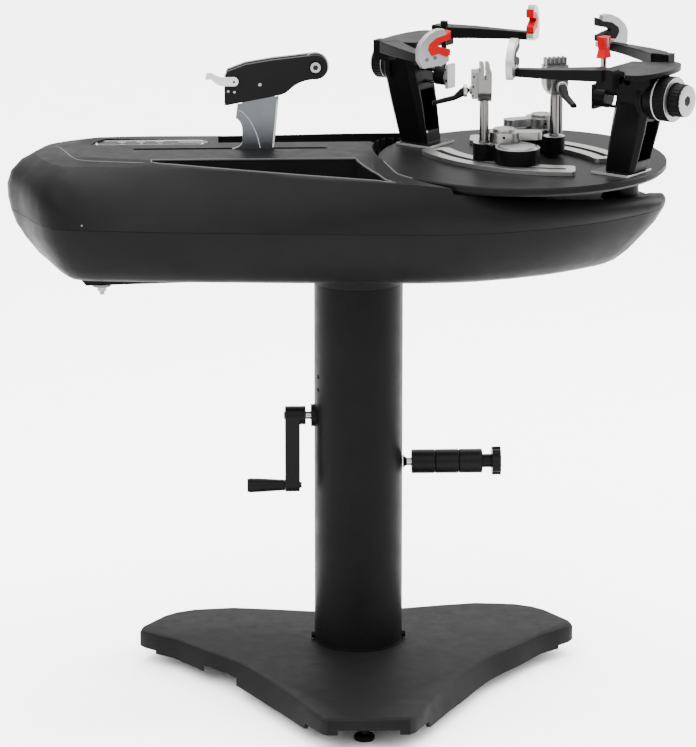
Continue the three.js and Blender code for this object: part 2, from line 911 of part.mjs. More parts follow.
function ridgeRing() {
  const point = ([x, y, z], side) => [
    x * hull.length - hull.left, side * y * hull.halfWidth, mix(hull.seam, hull.deck, z),
  ];
  const front = ridgeShares.map((share) => point(share, -1));
  const rear = ridgeShares.map(([x, y, z], i) => {
    const [wider, higher] = rearShares[i] ?? [0, 0];
    return point([x, y + wider, z + higher], 1);
  });
  return sampled(closedHalf(front, rear));
}

function sideShares() {
  const half = seamShares.map(([, , bulge, nose]) => [bulge, nose, 0]);
  return sampled(closedHalf(half, half));
}

function outwards(ring, distance) {
  return ring.map(([x, y, z], i) => {
    const before = ring[(i + ring.length - 1) % ring.length];
    const after = ring[(i + 1) % ring.length];
    const tangent = new THREE.Vector2(after[0] - before[0], after[1] - before[1]).normalize();
    const reach = typeof distance === 'function' ? distance(i) : distance;
    return [x + tangent.y * reach, y - tangent.x * reach, z];
  });
}

function flankRings() {
  const seam = seamRing();
  const ridge = ridgeRing();
  const shares = sideShares();
  return flankShares.map(([up, side, nose]) => {
    const ring = seam.map(([x, y, z], i) => {
      const inward = mix(side, nose, shares[i][1]);
      return [mix(x, ridge[i][0], inward), mix(y, ridge[i][1], inward), mix(z, ridge[i][2], up)];
    });
    return outwards(ring, (i) => hull.bulge * shares[i][0] * Math.sin(Math.PI * up));
  });
}

// The flat top inside the ridge: full height up to the turntable, then level with its own ridge.
function platformRing() {
  const edge = discX - disc.radius;
  return ridgeRing().map(([x, y, z]) => {
    const half = Math.min(Math.abs(y) * 0.86, y < 0 ? tray.back : tray.rearFront);
    const height = x < edge ? hull.deck : Math.min(z, hull.deck);
    return [mix(x, discX - disc.radius * 2, 0.03), Math.sign(y) * half, height];
  });
}

function lowered(ring, drop) {
  return ring.map(([x, y, z]) => [x, y, z - drop]);
}

function upperOuter() {
  return loft([...flankRings(), platformRing()]);
}

function upperInner() {
  const rings = flankRings();
  const start = lowered(outwards(rings[0], -hull.wall), overrun);
  const sides = [1, 3, 5].map((i) => outwards(lowered(rings[i], hull.wall / 2), -hull.wall));
  const top = lowered(outwards(rings[rings.length - 1], -hull.wall * 1.5), hull.wall);
  return loft([start, ...sides, top, lowered(outwards(platformRing(), -hull.wall), hull.wall)]);
}

function recess(grow) {
  const radius = disc.radius + hull.recessGap + grow;
  const round = upright(radius, hull.lowDeck - grow, hull.deck + disc.thickness * 4, discX, 0, 52);
  const rim = outline(outwards(ridgeRing(), grow - hull.lip));
  const shelf = disc.top - disc.thickness - hull.discGap - grow;
  return round.intersect(slab(rim, hull.lowDeck - grow, hull.deck + disc.thickness * 4))
    .add(upright(radius, shelf, hull.deck + disc.thickness * 4, discX, 0, 52));
}

// A tray follows the deck's edge on one side and ends at the strip beside the turntable.
function trayPocket(side, grow) {
  const back = side < 0 ? tray.back : tray.rearFront;
  const leftX = side < 0 ? deckX(deckShares.trayLeft) : panelRight + tray.rearGap;
  const edge = outwards(ridgeRing(), grow - tray.lip).filter(([x, y]) => (
    y * side > back && x > leftX - grow && x < discX - disc.radius / 2
  ));
  const ordered = edge.sort((a, b) => a[0] - b[0]).map(([x, y]) => [x, y * side]);
  const first = ordered[0];
  const last = ordered[ordered.length - 1];
  const points = [
    [leftX - grow, back - grow], [last[0], back - grow],
    ...ordered.reverse(),
    [leftX - grow, Math.max(first[1] - (first[0] - leftX) * 0.3, back)],
  ];
  const floor = tray.floor - grow;
  let pocket = slab(outline(points), floor, hull.deck + disc.thickness * 4);
  const strip = side < 0 ? tray.strip : 0;
  pocket = pocket.subtract(upright(disc.radius + hull.recessGap + strip - grow, floor - overrun, hull.deck + disc.thickness * 4,
    discX, 0, 72));
  return side < 0 ? mirroredY(pocket) : pocket;
}

function slotCut(grow) {
  const half = slot.width / 2 + grow;
  const round = [slotLeft + slot.width / 2, slotRight - slot.width / 2];
  const top = hull.deck + overrun;
  return union(
    box(round[0], round[1], -half, half, hull.seam, top),
    ...round.map((x) => upright(half, hull.seam, top, x, 0, 14)),
  );
}

function consoleShape(grow) {
  const c = panel;
  const left = panelLeft - grow;
  const right = panelRight + grow;
  return outline([
    [left + c.chamfer * 2, c.back + grow], [left, c.back + grow - c.chamfer * 2.4],
    [left - c.chamfer / 2, c.front - grow], [right - c.chamfer / 2, c.front - grow],
    [right, c.front - grow + c.chamfer], [right, c.back + grow - c.chamfer],
    [right - c.chamfer, c.back + grow],
  ].reverse());
}

function consolePocket(grow) {
  return slab(consoleShape(grow), hull.deck - panel.depth - grow, hull.deck + disc.thickness * 4);
}

function upperShell() {
  const wall = hull.wall;
  const cavity = upperInner()
    .subtract(trayPocket(-1, tray.wall))
    .subtract(trayPocket(1, tray.wall))
    .subtract(recess(wall))
    .subtract(consolePocket(wall));
  let body = upperOuter().subtract(cavity)
    .subtract(trayPocket(-1, 0))
    .subtract(trayPocket(1, 0))
    .subtract(recess(0))
    .subtract(consolePocket(0))
    .subtract(slotCut(0));
  body = body.subtract(upright(bearing.radius + clearance * 2, hull.seam, hull.deck, discX, 0, 34));
  body = body.subtract(upright(brake.stem + clearance, hull.seam, hull.deck, hullNose * noseShares.brake, brake.y, 14));
  for (const x of keyPlaces()) {
    body = body.subtract(upright(panel.stem + clearance * 2, hull.seam, hull.deck, x, keyRow(), 16));
  }
  return body;
}

function tubRing([depth, left, right, width]) {
  const z = mix(hull.seam - clearance, hull.bottom, depth);
  return seamRing().map(([x, y]) => {
    const tip = Math.max(0, (-x / hull.left - tubTipShare) / (1 - tubTipShare));
    return [x < 0 ? x + (1 - left) * hull.left * tip * tip : x * right, y * width, z];
  });
}

function lowerShell() {
  const rings = tubShares.map(tubRing);
  const floor = hull.bottom + hull.wall;
  const [mouth, side, corner] = [0, 2, 4].map((i) => outwards(rings[i], -hull.wall));
  const bed = outwards(rings[rings.length - 1], -hull.wall).map(([x, y]) => [x, y, floor]);
  const cavity = loft([bed, corner, side, lowered(mouth, -overrun)]);
  let body = loft([...rings].reverse()).subtract(cavity);
  body = body.subtract(upright(innerColumn.radius + clearance, hull.bottom - overrun, floor + overrun, 0, 0, 34));
  return body;
}

function underPlate() {
  const top = hull.bottom - clearance;
  const left = hullTail + underplate.fromTail;
  const shape = outline([
    [left, top], [left + underplate.nose, top - underplate.thickness],
    [-underplate.right, top - underplate.taper], [-underplate.right, top],
  ]);
  return sidePlate(shape, -underplate.halfWidth, underplate.halfWidth);
}

// Frame inside the hull

const chassisLeft = hullTail + chassis.fromTail;
const chassisRight = hullNose * noseShares.chassis;
const screwEnd = railRight + screw.pastRail;
const chassisTop = hull.bottom + hull.wall + clearance * 2 + innerColumn.flangeThickness + chassis.thickness;

function chassisBeam() {
  const bottom = chassisTop - chassis.thickness;
  const half = chassis.width / 2;
  let body = box(chassisLeft, chassisRight, -half, half, bottom, chassisTop);
  for (const side of [-1, 1]) {
    const y = side * (half - chassis.thickness / 2);
    body = body.add(box(chassisLeft, chassisRight, y - chassis.thickness / 2, y + chassis.thickness / 2,
      bottom, bottom + chassis.flange));
  }
  const railHalf = chassis.railWidth / 2;
  body = body.add(box(railLeft, railRight, -railHalf, railHalf, chassisTop - overrun,
    chassisTop + chassis.railHeight));
  return body.add(screwSupport());
}

function screwSupport() {
  const z = chassisTop + motor.shaftHeight;
  const half = screw.supportWidth / 2;
  return box(screwEnd - screw.supportThickness, screwEnd, motor.offset - half, motor.offset + half, chassisTop - overrun, z + half)
    .subtract(alongX(screw.radius + clearance, screwEnd - screw.supportThickness - overrun, screwEnd + overrun,
      motor.offset, z, 20));
}

function driveMotor() {
  const z = chassisTop + motor.shaftHeight;
  const x = railLeft;
  const body = alongX(motor.radius, x - motor.length, x - motor.bracket, motor.offset, z, 24);
  const face = box(x - motor.bracket, x, motor.offset - motor.radius, motor.offset + motor.radius,
    chassisTop + clearance, z + motor.radius)
    .subtract(alongX(screw.radius + clearance, x - motor.bracket, x + overrun, motor.offset, z, 14));
  return body.add(face);
}

function driveScrew() {
  const z = chassisTop + motor.shaftHeight;
  return alongX(screw.radius, railLeft - motor.bracket + clearance, screwEnd - clearance,
    motor.offset, z, 24);
}

// String tensioner

function tensionCarriage() {
  const x0 = bladeMiddle - carriage.length / 2;
  const x1 = bladeMiddle + carriage.length / 2;
  const z0 = chassisTop + clearance;
  const z1 = chassisTop + chassis.railHeight + carriage.height;
  const half = carriage.width / 2;
  let body = box(x0, x1, -half, half, z0, z1);
  body = body.add(box(x0, x1, half - overrun, motor.offset, z0 + carriage.height / 2, z1));
  body = body.add(alongX(carriage.nutRadius, x0, x1, motor.offset, chassisTop + motor.shaftHeight, 20));
  const railHalf = chassis.railWidth / 2 + clearance;
  body = body.subtract(box(x0 - overrun, x1 + overrun, -railHalf, railHalf, z0 - overrun,
    chassisTop + chassis.railHeight + clearance));
  body = body.subtract(alongX(screw.radius + clearance, x0 - overrun, x1 + overrun, motor.offset,
    chassisTop + motor.shaftHeight, 24));
  const bladeHalf = blade.thickness / 2 + clearance;
  return body.subtract(box(x0 + carriage.bladeGrip, x1 - carriage.bladeGrip, -bladeHalf, bladeHalf,
    z1 - carriage.height / 2, z1 + overrun));
}

function carriageBlade() {
  const root = chassisTop + chassis.railHeight + carriage.height / 2 + clearance;
  const x0 = bladeMiddle - carriage.length / 2 + carriage.bladeGrip + clearance;
  const x1 = bladeMiddle + carriage.length / 2 - carriage.bladeGrip - clearance;
  const deck = hull.deck;
  const shape = new THREE.Shape();
  shape.moveTo(x0, root);
  shape.lineTo(x1, root);
  shape.lineTo(x1, deck - blade.thickness);
  const neck = bladeMiddle - blade.neckLeft;
  const rise = (share) => mix(deck, blade.top, share);
  shape.lineTo(bladeMiddle + blade.footHalf, deck);
  shape.lineTo(bladeMiddle + blade.topRight, blade.top);
  shape.lineTo(bladeMiddle - blade.topLeft, blade.top - blade.thickness * 1.5);
  shape.lineTo(bladeMiddle - blade.footHalf + blade.thickness * 0.7, rise(0.6));
  shape.quadraticCurveTo(neck, rise(0.52), neck, rise(0.36));
  shape.lineTo(neck, rise(0.14));
  shape.quadraticCurveTo(neck, deck + blade.thickness * 0.4, bladeMiddle - blade.footHalf, deck);
  shape.lineTo(x0, deck - blade.thickness);
  shape.closePath();
  const half = blade.thickness / 2;
  const tongue = box(bladeMiddle - blade.tongueLeft, bladeMiddle + blade.tongueRight, -half, half,
    blade.top - blade.thickness * 2, blade.tongueTop);
  return sidePlate(shape, -half, half, 6).add(tongue);
}

// Edge of the gripper's side plates, as shares of its length behind the nose and of its depth.
const gripperShares = {
  top: [[0.305, 0.745], [0.48, 0.9], [0.65, 0.95]],
  belly: [[0.1, -0.06], [0.2, -0.16], [0.29, -0.3], [0.366, -0.505], [0.4, -0.56]],
};

function gripperOutline() {
  const { nose, tailReach } = gripper;
  const length = nose.reach + tailReach;
  const depth = nose.radius * 3;
  const place = (back, up) => [noseX - back * length, nose.z + up * depth];
  const shape = new THREE.Shape();
  shape.moveTo(...place(0.96, -1.03));
  shape.lineTo(...place(0.9, -1));
  shape.lineTo(...place(0.4, -0.765));
  shape.quadraticCurveTo(...place(0.33, -0.74), ...place(0.27, -0.58));
  shape.quadraticCurveTo(...place(0.16, -0.34), noseX, nose.z - nose.radius);
  shape.absarc(noseX, nose.z, nose.radius, -Math.PI / 2, Math.PI / 2, false);
  shape.lineTo(...place(0.3, 0.25));
  shape.lineTo(...place(0.48, 0.2));
  shape.lineTo(...place(0.77, 0.08));
  shape.lineTo(...place(0.97, -0.11));
  shape.lineTo(...place(1, -0.31));
  shape.lineTo(...place(1, -1.03));
  shape.closePath();
  return shape;
}

const noseX = bladeMiddle + gripper.nose.reach;
const jawInner = gripper.gap / 2;
const plateFar = jawInner + gripper.thickness;

function gripperBody() {
  let body = sidePlate(gripperOutline(), -plateFar, -jawInner, 10);
  const seat = box(bladeMiddle - blade.topLeft - blade.thickness, bladeMiddle + blade.topRight + blade.thickness,
    clearance - plateFar, jawInner - gripper.jawTravel - clearance,
    blade.top - blade.thickness * 3, blade.tongueTop + blade.thickness);
  body = body.add(seat.intersect(sidePlate(gripperOutline(), -plateFar, plateFar, 10)));
  body = body.subtract(bladeSocket());
  body = body.add(alongY(gripper.pinRadius, -jawInner - overrun, plateFar + overrun, noseX, gripper.nose.z, 14));
  return body.add(alongY(gripper.boltRadius, -plateFar - gripper.boltHead, -plateFar + overrun,
    noseX, gripper.nose.z, 28));
}

function bladeSocket() {
  const half = blade.thickness / 2 + clearance;
  const bottom = blade.top - blade.thickness * 4;
  return box(bladeMiddle - blade.tongueLeft - clearance, bladeMiddle + blade.tongueRight + clearance, -half, half,
    bottom, blade.tongueTop + clearance)
    .add(box(bladeMiddle - blade.topLeft - blade.thickness * 2, bladeMiddle + blade.topRight + blade.thickness * 2,
      -half, half, bottom, blade.top - blade.thickness / 2));
}

function movingJaw() {
  const hole = alongY(gripper.pinRadius + clearance, 0, plateFar + overrun * 2, noseX, gripper.nose.z, 14);
  const back = box(bladeMiddle - blade.topLeft - blade.thickness * 2,
    bladeMiddle + blade.topRight + blade.thickness * 2, jawInner - overrun, jawInner + gripper.jawTravel,
    blade.top - blade.thickness * 4, blade.tongueTop + clearance);
  return sidePlate(gripperOutline(), jawInner, plateFar, 10).subtract(hole).subtract(back);
}

function noseRoller() {
  const near = clearance * 2 - jawInner;
  const far = jawInner - gripper.jawTravel - clearance;
  return alongY(gripper.rollerRadius, near, far, noseX, gripper.nose.z, 40)
    .subtract(alongY(gripper.pinRadius + clearance, -plateFar, plateFar, noseX, gripper.nose.z, 14));
}

function releaseLever() {
  const y1 = -plateFar - clearance;
  const half = lever.width / 2;
  const pivot = bladeMiddle - lever.back;
  const tip = pivot - lever.reach;
  const shape = new THREE.Shape();
  shape.absarc(pivot, lever.z, half, -Math.PI / 2, Math.PI / 2, false);
  shape.lineTo(pivot - lever.reach * 0.35, lever.z + half);
  shape.quadraticCurveTo(pivot - lever.reach * 0.55, lever.z + half, tip + half, lever.z + lever.drop + half);
  shape.lineTo(tip, lever.z + lever.drop + half);
  shape.lineTo(tip - half / 3, lever.z + lever.drop - half / 2);
  shape.lineTo(tip + half, lever.z + lever.drop - half / 2);
  shape.quadraticCurveTo(pivot - lever.reach * 0.6, lever.z - half, pivot - lever.reach * 0.35, lever.z - half);
  shape.closePath();
  return sidePlate(shape, y1 - lever.thickness, y1, 10);
}

// Turntable: a local frame at the middle of the disc's top, turned as it stands.

const turntable = new THREE.Group();
turntable.position.set(discX, 0, disc.top);
turntable.rotation.z = radians(disc.turn);
machine.add(turntable);

function turntableDisc() {
  const r = disc.radius;
  const t = disc.thickness;
  return turned([
    [0, -disc.hubDepth], [disc.hubRadius - disc.edge, -disc.hubDepth], [disc.hubRadius, -disc.hubDepth + disc.edge],
    [disc.hubRadius, -t], [r - disc.edge * 2, -t], [r, -t + disc.edge * 2], [r, -disc.edge], [r - disc.edge, 0], [0, 0],
  ], 52);
}

function turntableBearing() {
  const bore = disc.hubRadius + clearance * 2;
  const z0 = chassisTop + clearance;
  return moved(turned([
    [bore, z0], [bearing.flangeRadius, z0], [bearing.flangeRadius, z0 + bearing.flangeHeight],
    [bearing.radius, z0 + bearing.flangeHeight], [bearing.radius, bearing.top], [bore, bearing.top], [bore, z0],
  ], 24), { x: discX });
}

function brakeKnob() {
  const z0 = hull.lowDeck + clearance;
  const { radius, height, ringHeight, ringGrow, stem } = brake;
  return moved(turned([
    [0, z0 - hull.wall * 2], [stem, z0 - hull.wall * 2], [stem, z0], [radius + ringGrow, z0],
    [radius + ringGrow, z0 + ringHeight], [radius, z0 + ringHeight], [radius, z0 + height - ringHeight],
    [radius - ringHeight, z0 + height], [0, z0 + height],
  ], 20), { x: hullNose * noseShares.brake, y: brake.y });
}

// A slotted arc of bar steel for one string clamp to swing along.
function glideRail(side) {
  const centre = rail.arc - rail.middle;
  const reachAngle = Math.asin(rail.reach / rail.arc);
  const round = rail.endRound;
  const outer = rail.arc + rail.width / 2;
  const inner = rail.arc - rail.width / 2;
  const quarter = Math.PI / 2;
  const start = round / rail.arc - reachAngle - quarter;
  const end = reachAngle - round / rail.arc - quarter;
  const corner = (radius, angle, from) => arc(radius * Math.cos(angle), centre + radius * Math.sin(angle), round,
    angle + from, angle + from + quarter, 4);
  const body = slab(outline([
    ...arc(0, centre, outer, start, end, 22),
    ...corner(outer - round, end, 0),
    ...corner(inner + round, end, quarter),
    ...arc(0, centre, inner, end, start, 22),
    ...corner(inner + round, start, quarter * 2),
    ...corner(outer - round, start, quarter * 3),
  ]), clearance, clearance + rail.thickness);
  const slotEnd = reachAngle - rail.slotInset / rail.arc;
  const cut = slab(outline([
    ...arc(0, centre, rail.arc + rail.slotWidth / 2, -slotEnd - quarter, slotEnd - quarter, 20),
    ...arc(0, centre, rail.arc - rail.slotWidth / 2, slotEnd - quarter, -slotEnd - quarter, 20),
  ]), -overrun, rail.thickness + overrun * 2);
  return moved(body.subtract(cut), { turn: side < 0 ? 0 : 180 });
}

const railTop = clearance + rail.thickness;

function clampFoot({ socket, hub, cap }) {
  const c = clampBase;
  const z0 = railTop + clearance;
  const top = z0 + c.height;
  const webTop = top - c.capLift * 2;
  let body = upright(c.capRadius, z0, top - c.capLift, cap[0], cap[1], 26);
  body = body.add(bridge([...cap, c.capRadius * 0.75], [...hub, c.hubRadius * 0.9], z0, webTop));
  body = body.add(bridge([...hub, c.hubRadius * 0.7], [...socket, c.socketRadius * 0.9], z0, webTop));
  body = body.add(upright(c.socketRadius, z0, top, socket[0], socket[1], 20));
  body = body.add(upright(c.hubRadius, z0, top, hub[0], hub[1], 24));
  body = body.add(upright(c.capRadius - c.capInset, top - c.capLift - overrun, top, cap[0], cap[1], 26));
  const centre = rail.arc - rail.middle;
  const half = c.tongueLength / rail.arc / 2;
  const lean = Math.asin(cap[0] / rail.arc) - Math.PI / 2;
  const tongue = outline([
    ...arc(0, centre, rail.arc + c.tongueWidth / 2, lean - half, lean + half, 4),
    ...arc(0, centre, rail.arc - c.tongueWidth / 2, lean + half, lean - half, 4),
  ]);
  body = body.add(slab(tongue, z0 - c.tongue, z0 + overrun));
  const boreBottom = top - c.height / 2;
  body = body.subtract(upright(post.radius + clearance, boreBottom, top + overrun, socket[0], socket[1], 14));
  return body.subtract(upright(lockLever.discRadius / 2 + clearance, boreBottom, top + overrun, hub[0], hub[1], 14));
}

// A web with straight sides tangent to two round ends.
function bridge([x0, y0, r0], [x1, y1, r1], z0, z1) {
  const angle = Math.atan2(y1 - y0, x1 - x0);
  const away = Math.hypot(x1 - x0, y1 - y0);
  const side = Math.acos((r0 - r1) / away);
  return slab(outline([
    ...arc(x0, y0, r0, angle + side, angle - side + Math.PI * 2, 10),
    ...arc(x1, y1, r1, angle - side, angle + side, 10),
  ]), z0, z1);
}

function lockingLever({ socket, hub, lockTurn, lockReach }) {
  const c = clampBase;
  const l = lockLever;
  const z0 = railTop + clearance * 2 + c.height;
  const angle = radians(lockTurn);
  const tip = [lockReach * Math.cos(angle), lockReach * Math.sin(angle)];
  const top = z0 + l.height;
  let body = upright(l.radius, z0, top, 0, 0, 24);
  body = body.add(upright(l.discRadius, top - overrun, top + l.discHeight, 0, 0, 20));
  body = body.add(bridge([0, 0, l.width / 2], [...tip, l.tipWidth / 2], top - l.armHeight, top - clearance));
  body = body.add(upright(l.discRadius / 2, z0 - c.height / 2 + clearance, z0 + overrun, 0, 0, 14));
  const toPost = new THREE.Vector2(socket[0] - hub[0], socket[1] - hub[1]);
  const inner = toPost.length() - post.collarRadius - clearance * 2;
  if (inner < l.radius) {
    body = body.subtract(slab(ringSector(inner, l.radius + overrun, toPost.angle(), radians(l.swing)),
      z0 - overrun, z0 + l.height + overrun));
  }
  return moved(body, { x: hub[0], y: hub[1] });
}

function ringSector(inner, outer, middle, half) {
  return outline([
    ...arc(0, 0, outer, middle - half, middle + half, 10),
    ...arc(0, 0, inner, middle + half, middle - half, 10),
  ]);
}

// The clamp's post carries the head with its comb of teeth; it is modelled at the post's axis.
function clampHeadAndPost() {
  const h = clampHead;
  const z0 = railTop + clearance + clampBase.height;
  const headBottom = post.top - disc.top;
  let body = upright(post.radius, z0 - clampBase.height / 2 + clearance, headBottom + overrun, 0, 0, 18);
  body = body.add(upright(post.collarRadius, z0 + clearance, z0 + clearance + post.collarHeight, 0, 0, 18));
  body = body.add(upright(post.rodRadius, z0 + clearance + post.collarHeight, headBottom + overrun,
    post.rodOffset, 0, 14));
  const block = new THREE.Shape();
  const half = h.width / 2;
  const top = headBottom + h.height - h.toothHeight;
  block.moveTo(-half + h.corner, headBottom);
  block.lineTo(half - h.corner, headBottom);
  block.quadraticCurveTo(half, headBottom + h.corner, half, headBottom + h.corner * 2);
  block.lineTo(half, top);
  block.lineTo(-half, top);
  block.lineTo(-half, headBottom + h.corner * 2);
  block.quadraticCurveTo(-half, headBottom + h.corner, -half + h.corner, headBottom);
  body = body.add(sidePlate(block, -h.depth / 2, h.depth / 2 - h.plate, 6));
  body = body.add(sidePlate(block, h.depth / 2 - h.plate - clearance, h.depth / 2, 6));
  const pitch = h.width / h.teeth;
  for (let i = 0; i < h.teeth; i += 1) {
    const x = -half + (i + 0.5) * pitch;
    const tooth = pitch * (1 - h.toothGapShare) / 2;
    body = body.add(box(x - tooth, x + tooth, -h.depth / 2 + h.plateInset, h.depth / 2 - h.plateInset, top - overrun,
      top + h.toothHeight));
  }
  body = body.subtract(box(-half - overrun, half + overrun, -h.plateInset / 2, h.plateInset / 2,
    top - h.toothHeight, top + h.toothHeight * 2));
  const coverFace = -h.depth / 2 - h.cover;
  body = body.add(box(-h.coverWidth / 2, h.coverWidth / 2, coverFace, overrun - h.depth / 2, headBottom + h.coverBottom,
    headBottom + h.coverTop));
  return body.add(alongY(jawLever.hub, coverFace - jawLever.collar, coverFace + overrun,
    0, headBottom + jawLever.height, 14));
}

function clampLever() {
  const l = jawLever;
  const z = post.top - disc.top + l.height;
  const face = -clampHead.depth / 2 - clampHead.cover - l.collar - clearance;
  const sections = [
    [0, 0, l.root, l.rootDepth * 0.18], [0.05, 0, l.root, l.rootDepth * 0.6], [0.12, -0.04, l.root, l.rootDepth * 0.76],
    [0.24, -0.24, l.root, l.rootDepth * 0.72], [0.42, -0.6, l.tip * 1.1, l.tipDepth * 1.2], [1, -1, l.tip, l.tipDepth],
  ];
  const rings = sections.map(([out, down, width, thick]) => {
    const y = face - out * l.length;
    const mid = z + down * l.drop;
    const w = width / 2;
    const t = thick / 2;
    const cut = 0.55;
    return [
      [-w, y, mid - t * cut], [-w * cut, y, mid - t], [w * cut, y, mid - t], [w, y, mid - t * cut],
      [w, y, mid + t * cut], [w * cut, y, mid + t], [-w * cut, y, mid + t], [-w, y, mid + t * cut],
    ];
  });
  return loft(rings);
}

// Towers: each stands on the disc with its own outward direction along +X here.

// Sections of the casting: share of its height, shares of its foot's depth to both faces, share of half its width.
const towerShares = [
  [0.02, 0.242, 1.016, 0.697], [0.157, 0.29, 1.129, 0.742], [0.433, 0.403, 1.306, 0.818],
  [0.734, 0.565, 1.468, 0.939], [1.003, 0.629, 1.516, 1.061],
];

function towerCasting(name) {
  const t = tower;
  const f = t.foot;
  const reach = t.bossReach[name];
  const knobSleeve = name === 'right' ? bigKnob : soloKnob;
  const rings = towerShares.map(([up, innerShare, outerShare, width]) => {
    const z = up * t.topHeight;
    const inner = mix(f.inner, f.outer, innerShare);
    const outer = mix(f.inner, f.outer, outerShare);
    const half = width * f.halfWidth;
    const c = half * 0.25;
    return [
      [inner + c, -half, z], [outer - c, -half, z], [outer, -half + c, z], [outer, half - c, z],
      [outer - c, half, z], [inner + c, half, z], [inner, half - c, z], [inner, -half + c, z],
    ];
  });
  const web = mix(f.inner, f.outer, t.webShare);
  const half = t.pocketHalfWidth;
  let body = loft(rings);
  body = body.add(box(f.inner, f.outer, -f.halfWidth, f.halfWidth, clearance, clearance + f.thickness + overrun / 2));
  body = body.add(slab(towerPlateShape(t.plateOuter[name]), t.topHeight - overrun / 2, t.topHeight + t.plateThickness));
  body = body.add(alongX(knobSleeve.radius, web, reach, 0, t.knobHeight, 24));
  body = body.subtract(box(f.inner, web - t.webThickness / 2, -half, half, t.pocketBottom, t.pocketTop));
  body = body.subtract(box(web + t.webThickness / 2, reach, -half, half, t.pocketBottom, t.pocketTop));
  for (const u of [rackRod.near, rackRod.far]) {
    body = body.subtract(alongY(rackRod.radius + clearance, -t.plateHalfWidth, t.plateHalfWidth, u, rackRod.height, 16));
  }
  body = body.subtract(alongX(support.rodRadius + clearance, f.inner, t.boreDepth, 0, t.knobHeight, 14));
  body = body.subtract(alongX(support.thinRadius + clearance, f.inner, t.boreDepth, 0,
    support.height - support.thinDrop, 12));
  return body.subtract(alongX(bigKnob.sleeveRadius + clearance, reach - bigKnob.sleeveDepth - clearance,
    reach + overrun, 0, t.knobHeight, 24));
}

function towerPlateShape(outer) {
  const t = tower;
  const shape = new THREE.Shape();
  const along = (share) => mix(t.plateInner, outer, share);
  shape.moveTo(along(0), -t.plateHalfWidth * 0.5);
  shape.lineTo(along(0.45), -t.plateHalfWidth * 0.72);
  shape.lineTo(along(0.6), -t.plateHalfWidth);
  shape.quadraticCurveTo(along(0.98), -t.plateHalfWidth, along(1), 0);
  shape.quadraticCurveTo(along(0.98), t.plateHalfWidth, along(0.6), t.plateHalfWidth);
  shape.lineTo(along(0.45), t.plateHalfWidth * 0.72);
  shape.lineTo(along(0), t.plateHalfWidth * 0.5);
  shape.closePath();
  return shape;
}

// A side arm with its rack rod; side is -1 on the operator's half of a tower seen outwards.
function sideArm(side) {
  const a = armRoot;
  const rodU = side < 0 ? rackRod.near : rackRod.far;
  const bottom = a.top - a.depth;
  let body = box(a.u - a.halfLength, a.u + a.halfLength, a.v - a.halfWidth, a.v + a.halfWidth, bottom, a.top);
  body = body.add(alongY(rackRod.radius, -rackRod.inner, a.v, rodU, rackRod.height, 16));
  body = body.add(armBar());
  body = body.add(bracketPlate());
  return side < 0 ? mirroredY(body) : body;
}

function armDirection() {
  return Math.atan2(bracket.v - armRoot.v, bracket.u - armRoot.u);
}

// Along the arm: share of the way out, of the taper and of the fall.
const barShares = [[0, 0, 0], [0.3, 0.375, 0.25], [0.65, 0.8125, 0.7], [1, 1, 1]];

function armBar() {
  const a = armRoot;
  const start = new THREE.Vector2(a.u - a.halfLength / 2, a.v);
  const end = new THREE.Vector2(bracket.u, bracket.v);
  const angle = armDirection();
  const rings = barShares.map(([share, taper, fall]) => {
    const half = mix(a.barHalf, bracket.bar, taper);
    const x = mix(start.x, end.x, share);
    const y = mix(start.y, end.y, share) + Math.sin(Math.PI * share) * a.bow;
    const nx = -Math.sin(angle) * half;
    const ny = Math.cos(angle) * half;
    const top = mix(a.top, bracket.bottom + bracket.barTop, fall);
    const low = mix(a.top - a.barDepth, bracket.bottom + bracket.barLift, fall);
    return [[x + nx, y + ny, low], [x + nx, y + ny, top], [x - nx, y - ny, top], [x - nx, y - ny, low]];
  });
  return loft(rings);
}

// Outlines in the bracket's own plane: share of half its width towards the racket, share of half its height.
const bracketShares = [
  [-0.8, -1], [0.4, -0.92], [0.74, -0.74], [0.76, -0.1], [0.5, 0.98], [0.2, 1.02], [-0.1, 0.96], [-0.52, 0.75],
  [-0.9, 0.38], [-1.08, 0], [-1.06, -0.6],
];
const padShares = [
  [0.8, -0.42], [0.84, 0.88], [0.56, 0.68], [-0.05, 0.55], [-0.46, 0.25], [-0.53, 0], [-0.32, -0.36], [0.09, -0.3],
  [0.56, -0.48],
];
const mouthShares = [
  [0.77, -0.24], [0.81, 0.56], [0.56, 0.37], [0.09, 0.25], [-0.02, 0.13], [0.43, 0.01], [0.56, -0.05],
];

function inBracketPlane(shape, thickness, offset) {
  const geometry = new THREE.ExtrudeGeometry(shape, { depth: thickness, bevelEnabled: false, curveSegments: 6 });
  const angle = armDirection();
  const open = new THREE.Vector3(-Math.sin(angle), Math.cos(angle), 0);
  const along = new THREE.Vector3(Math.cos(angle), Math.sin(angle), 0);
  geometry.translate(0, 0, offset);
  geometry.applyMatrix4(new THREE.Matrix4().makeBasis(open, new THREE.Vector3(0, 0, 1), along));
  geometry.translate(bracket.u, bracket.v, bracket.bottom + bracket.height / 2);
  return geometry;
}

function bracketPoints(shares) {
  return shares.map(([x, y]) => [x * bracket.width / 2, y * bracket.height / 2]);
}

// Points that reach past the bracket's open side are carried on by a further share of its width.
function openEnded(points, share) {
  const edge = Math.max(...points.map(([x]) => x)) * 0.9;
  return points.map(([x, y]) => [x > edge ? x + bracket.width * share : x, y]);
}

function acrossBracket(points, extra) {
  const depth = bracket.thickness + extra * 2;
  return solid(inBracketPlane(outline(points), depth, -depth / 2));
}

function bracketPlate() {
  const room = openEnded(grown(bracketPoints(padShares), clearance), 0.3);
  return acrossBracket(bracketPoints(bracketShares), 0).subtract(acrossBracket(room, overrun));
}

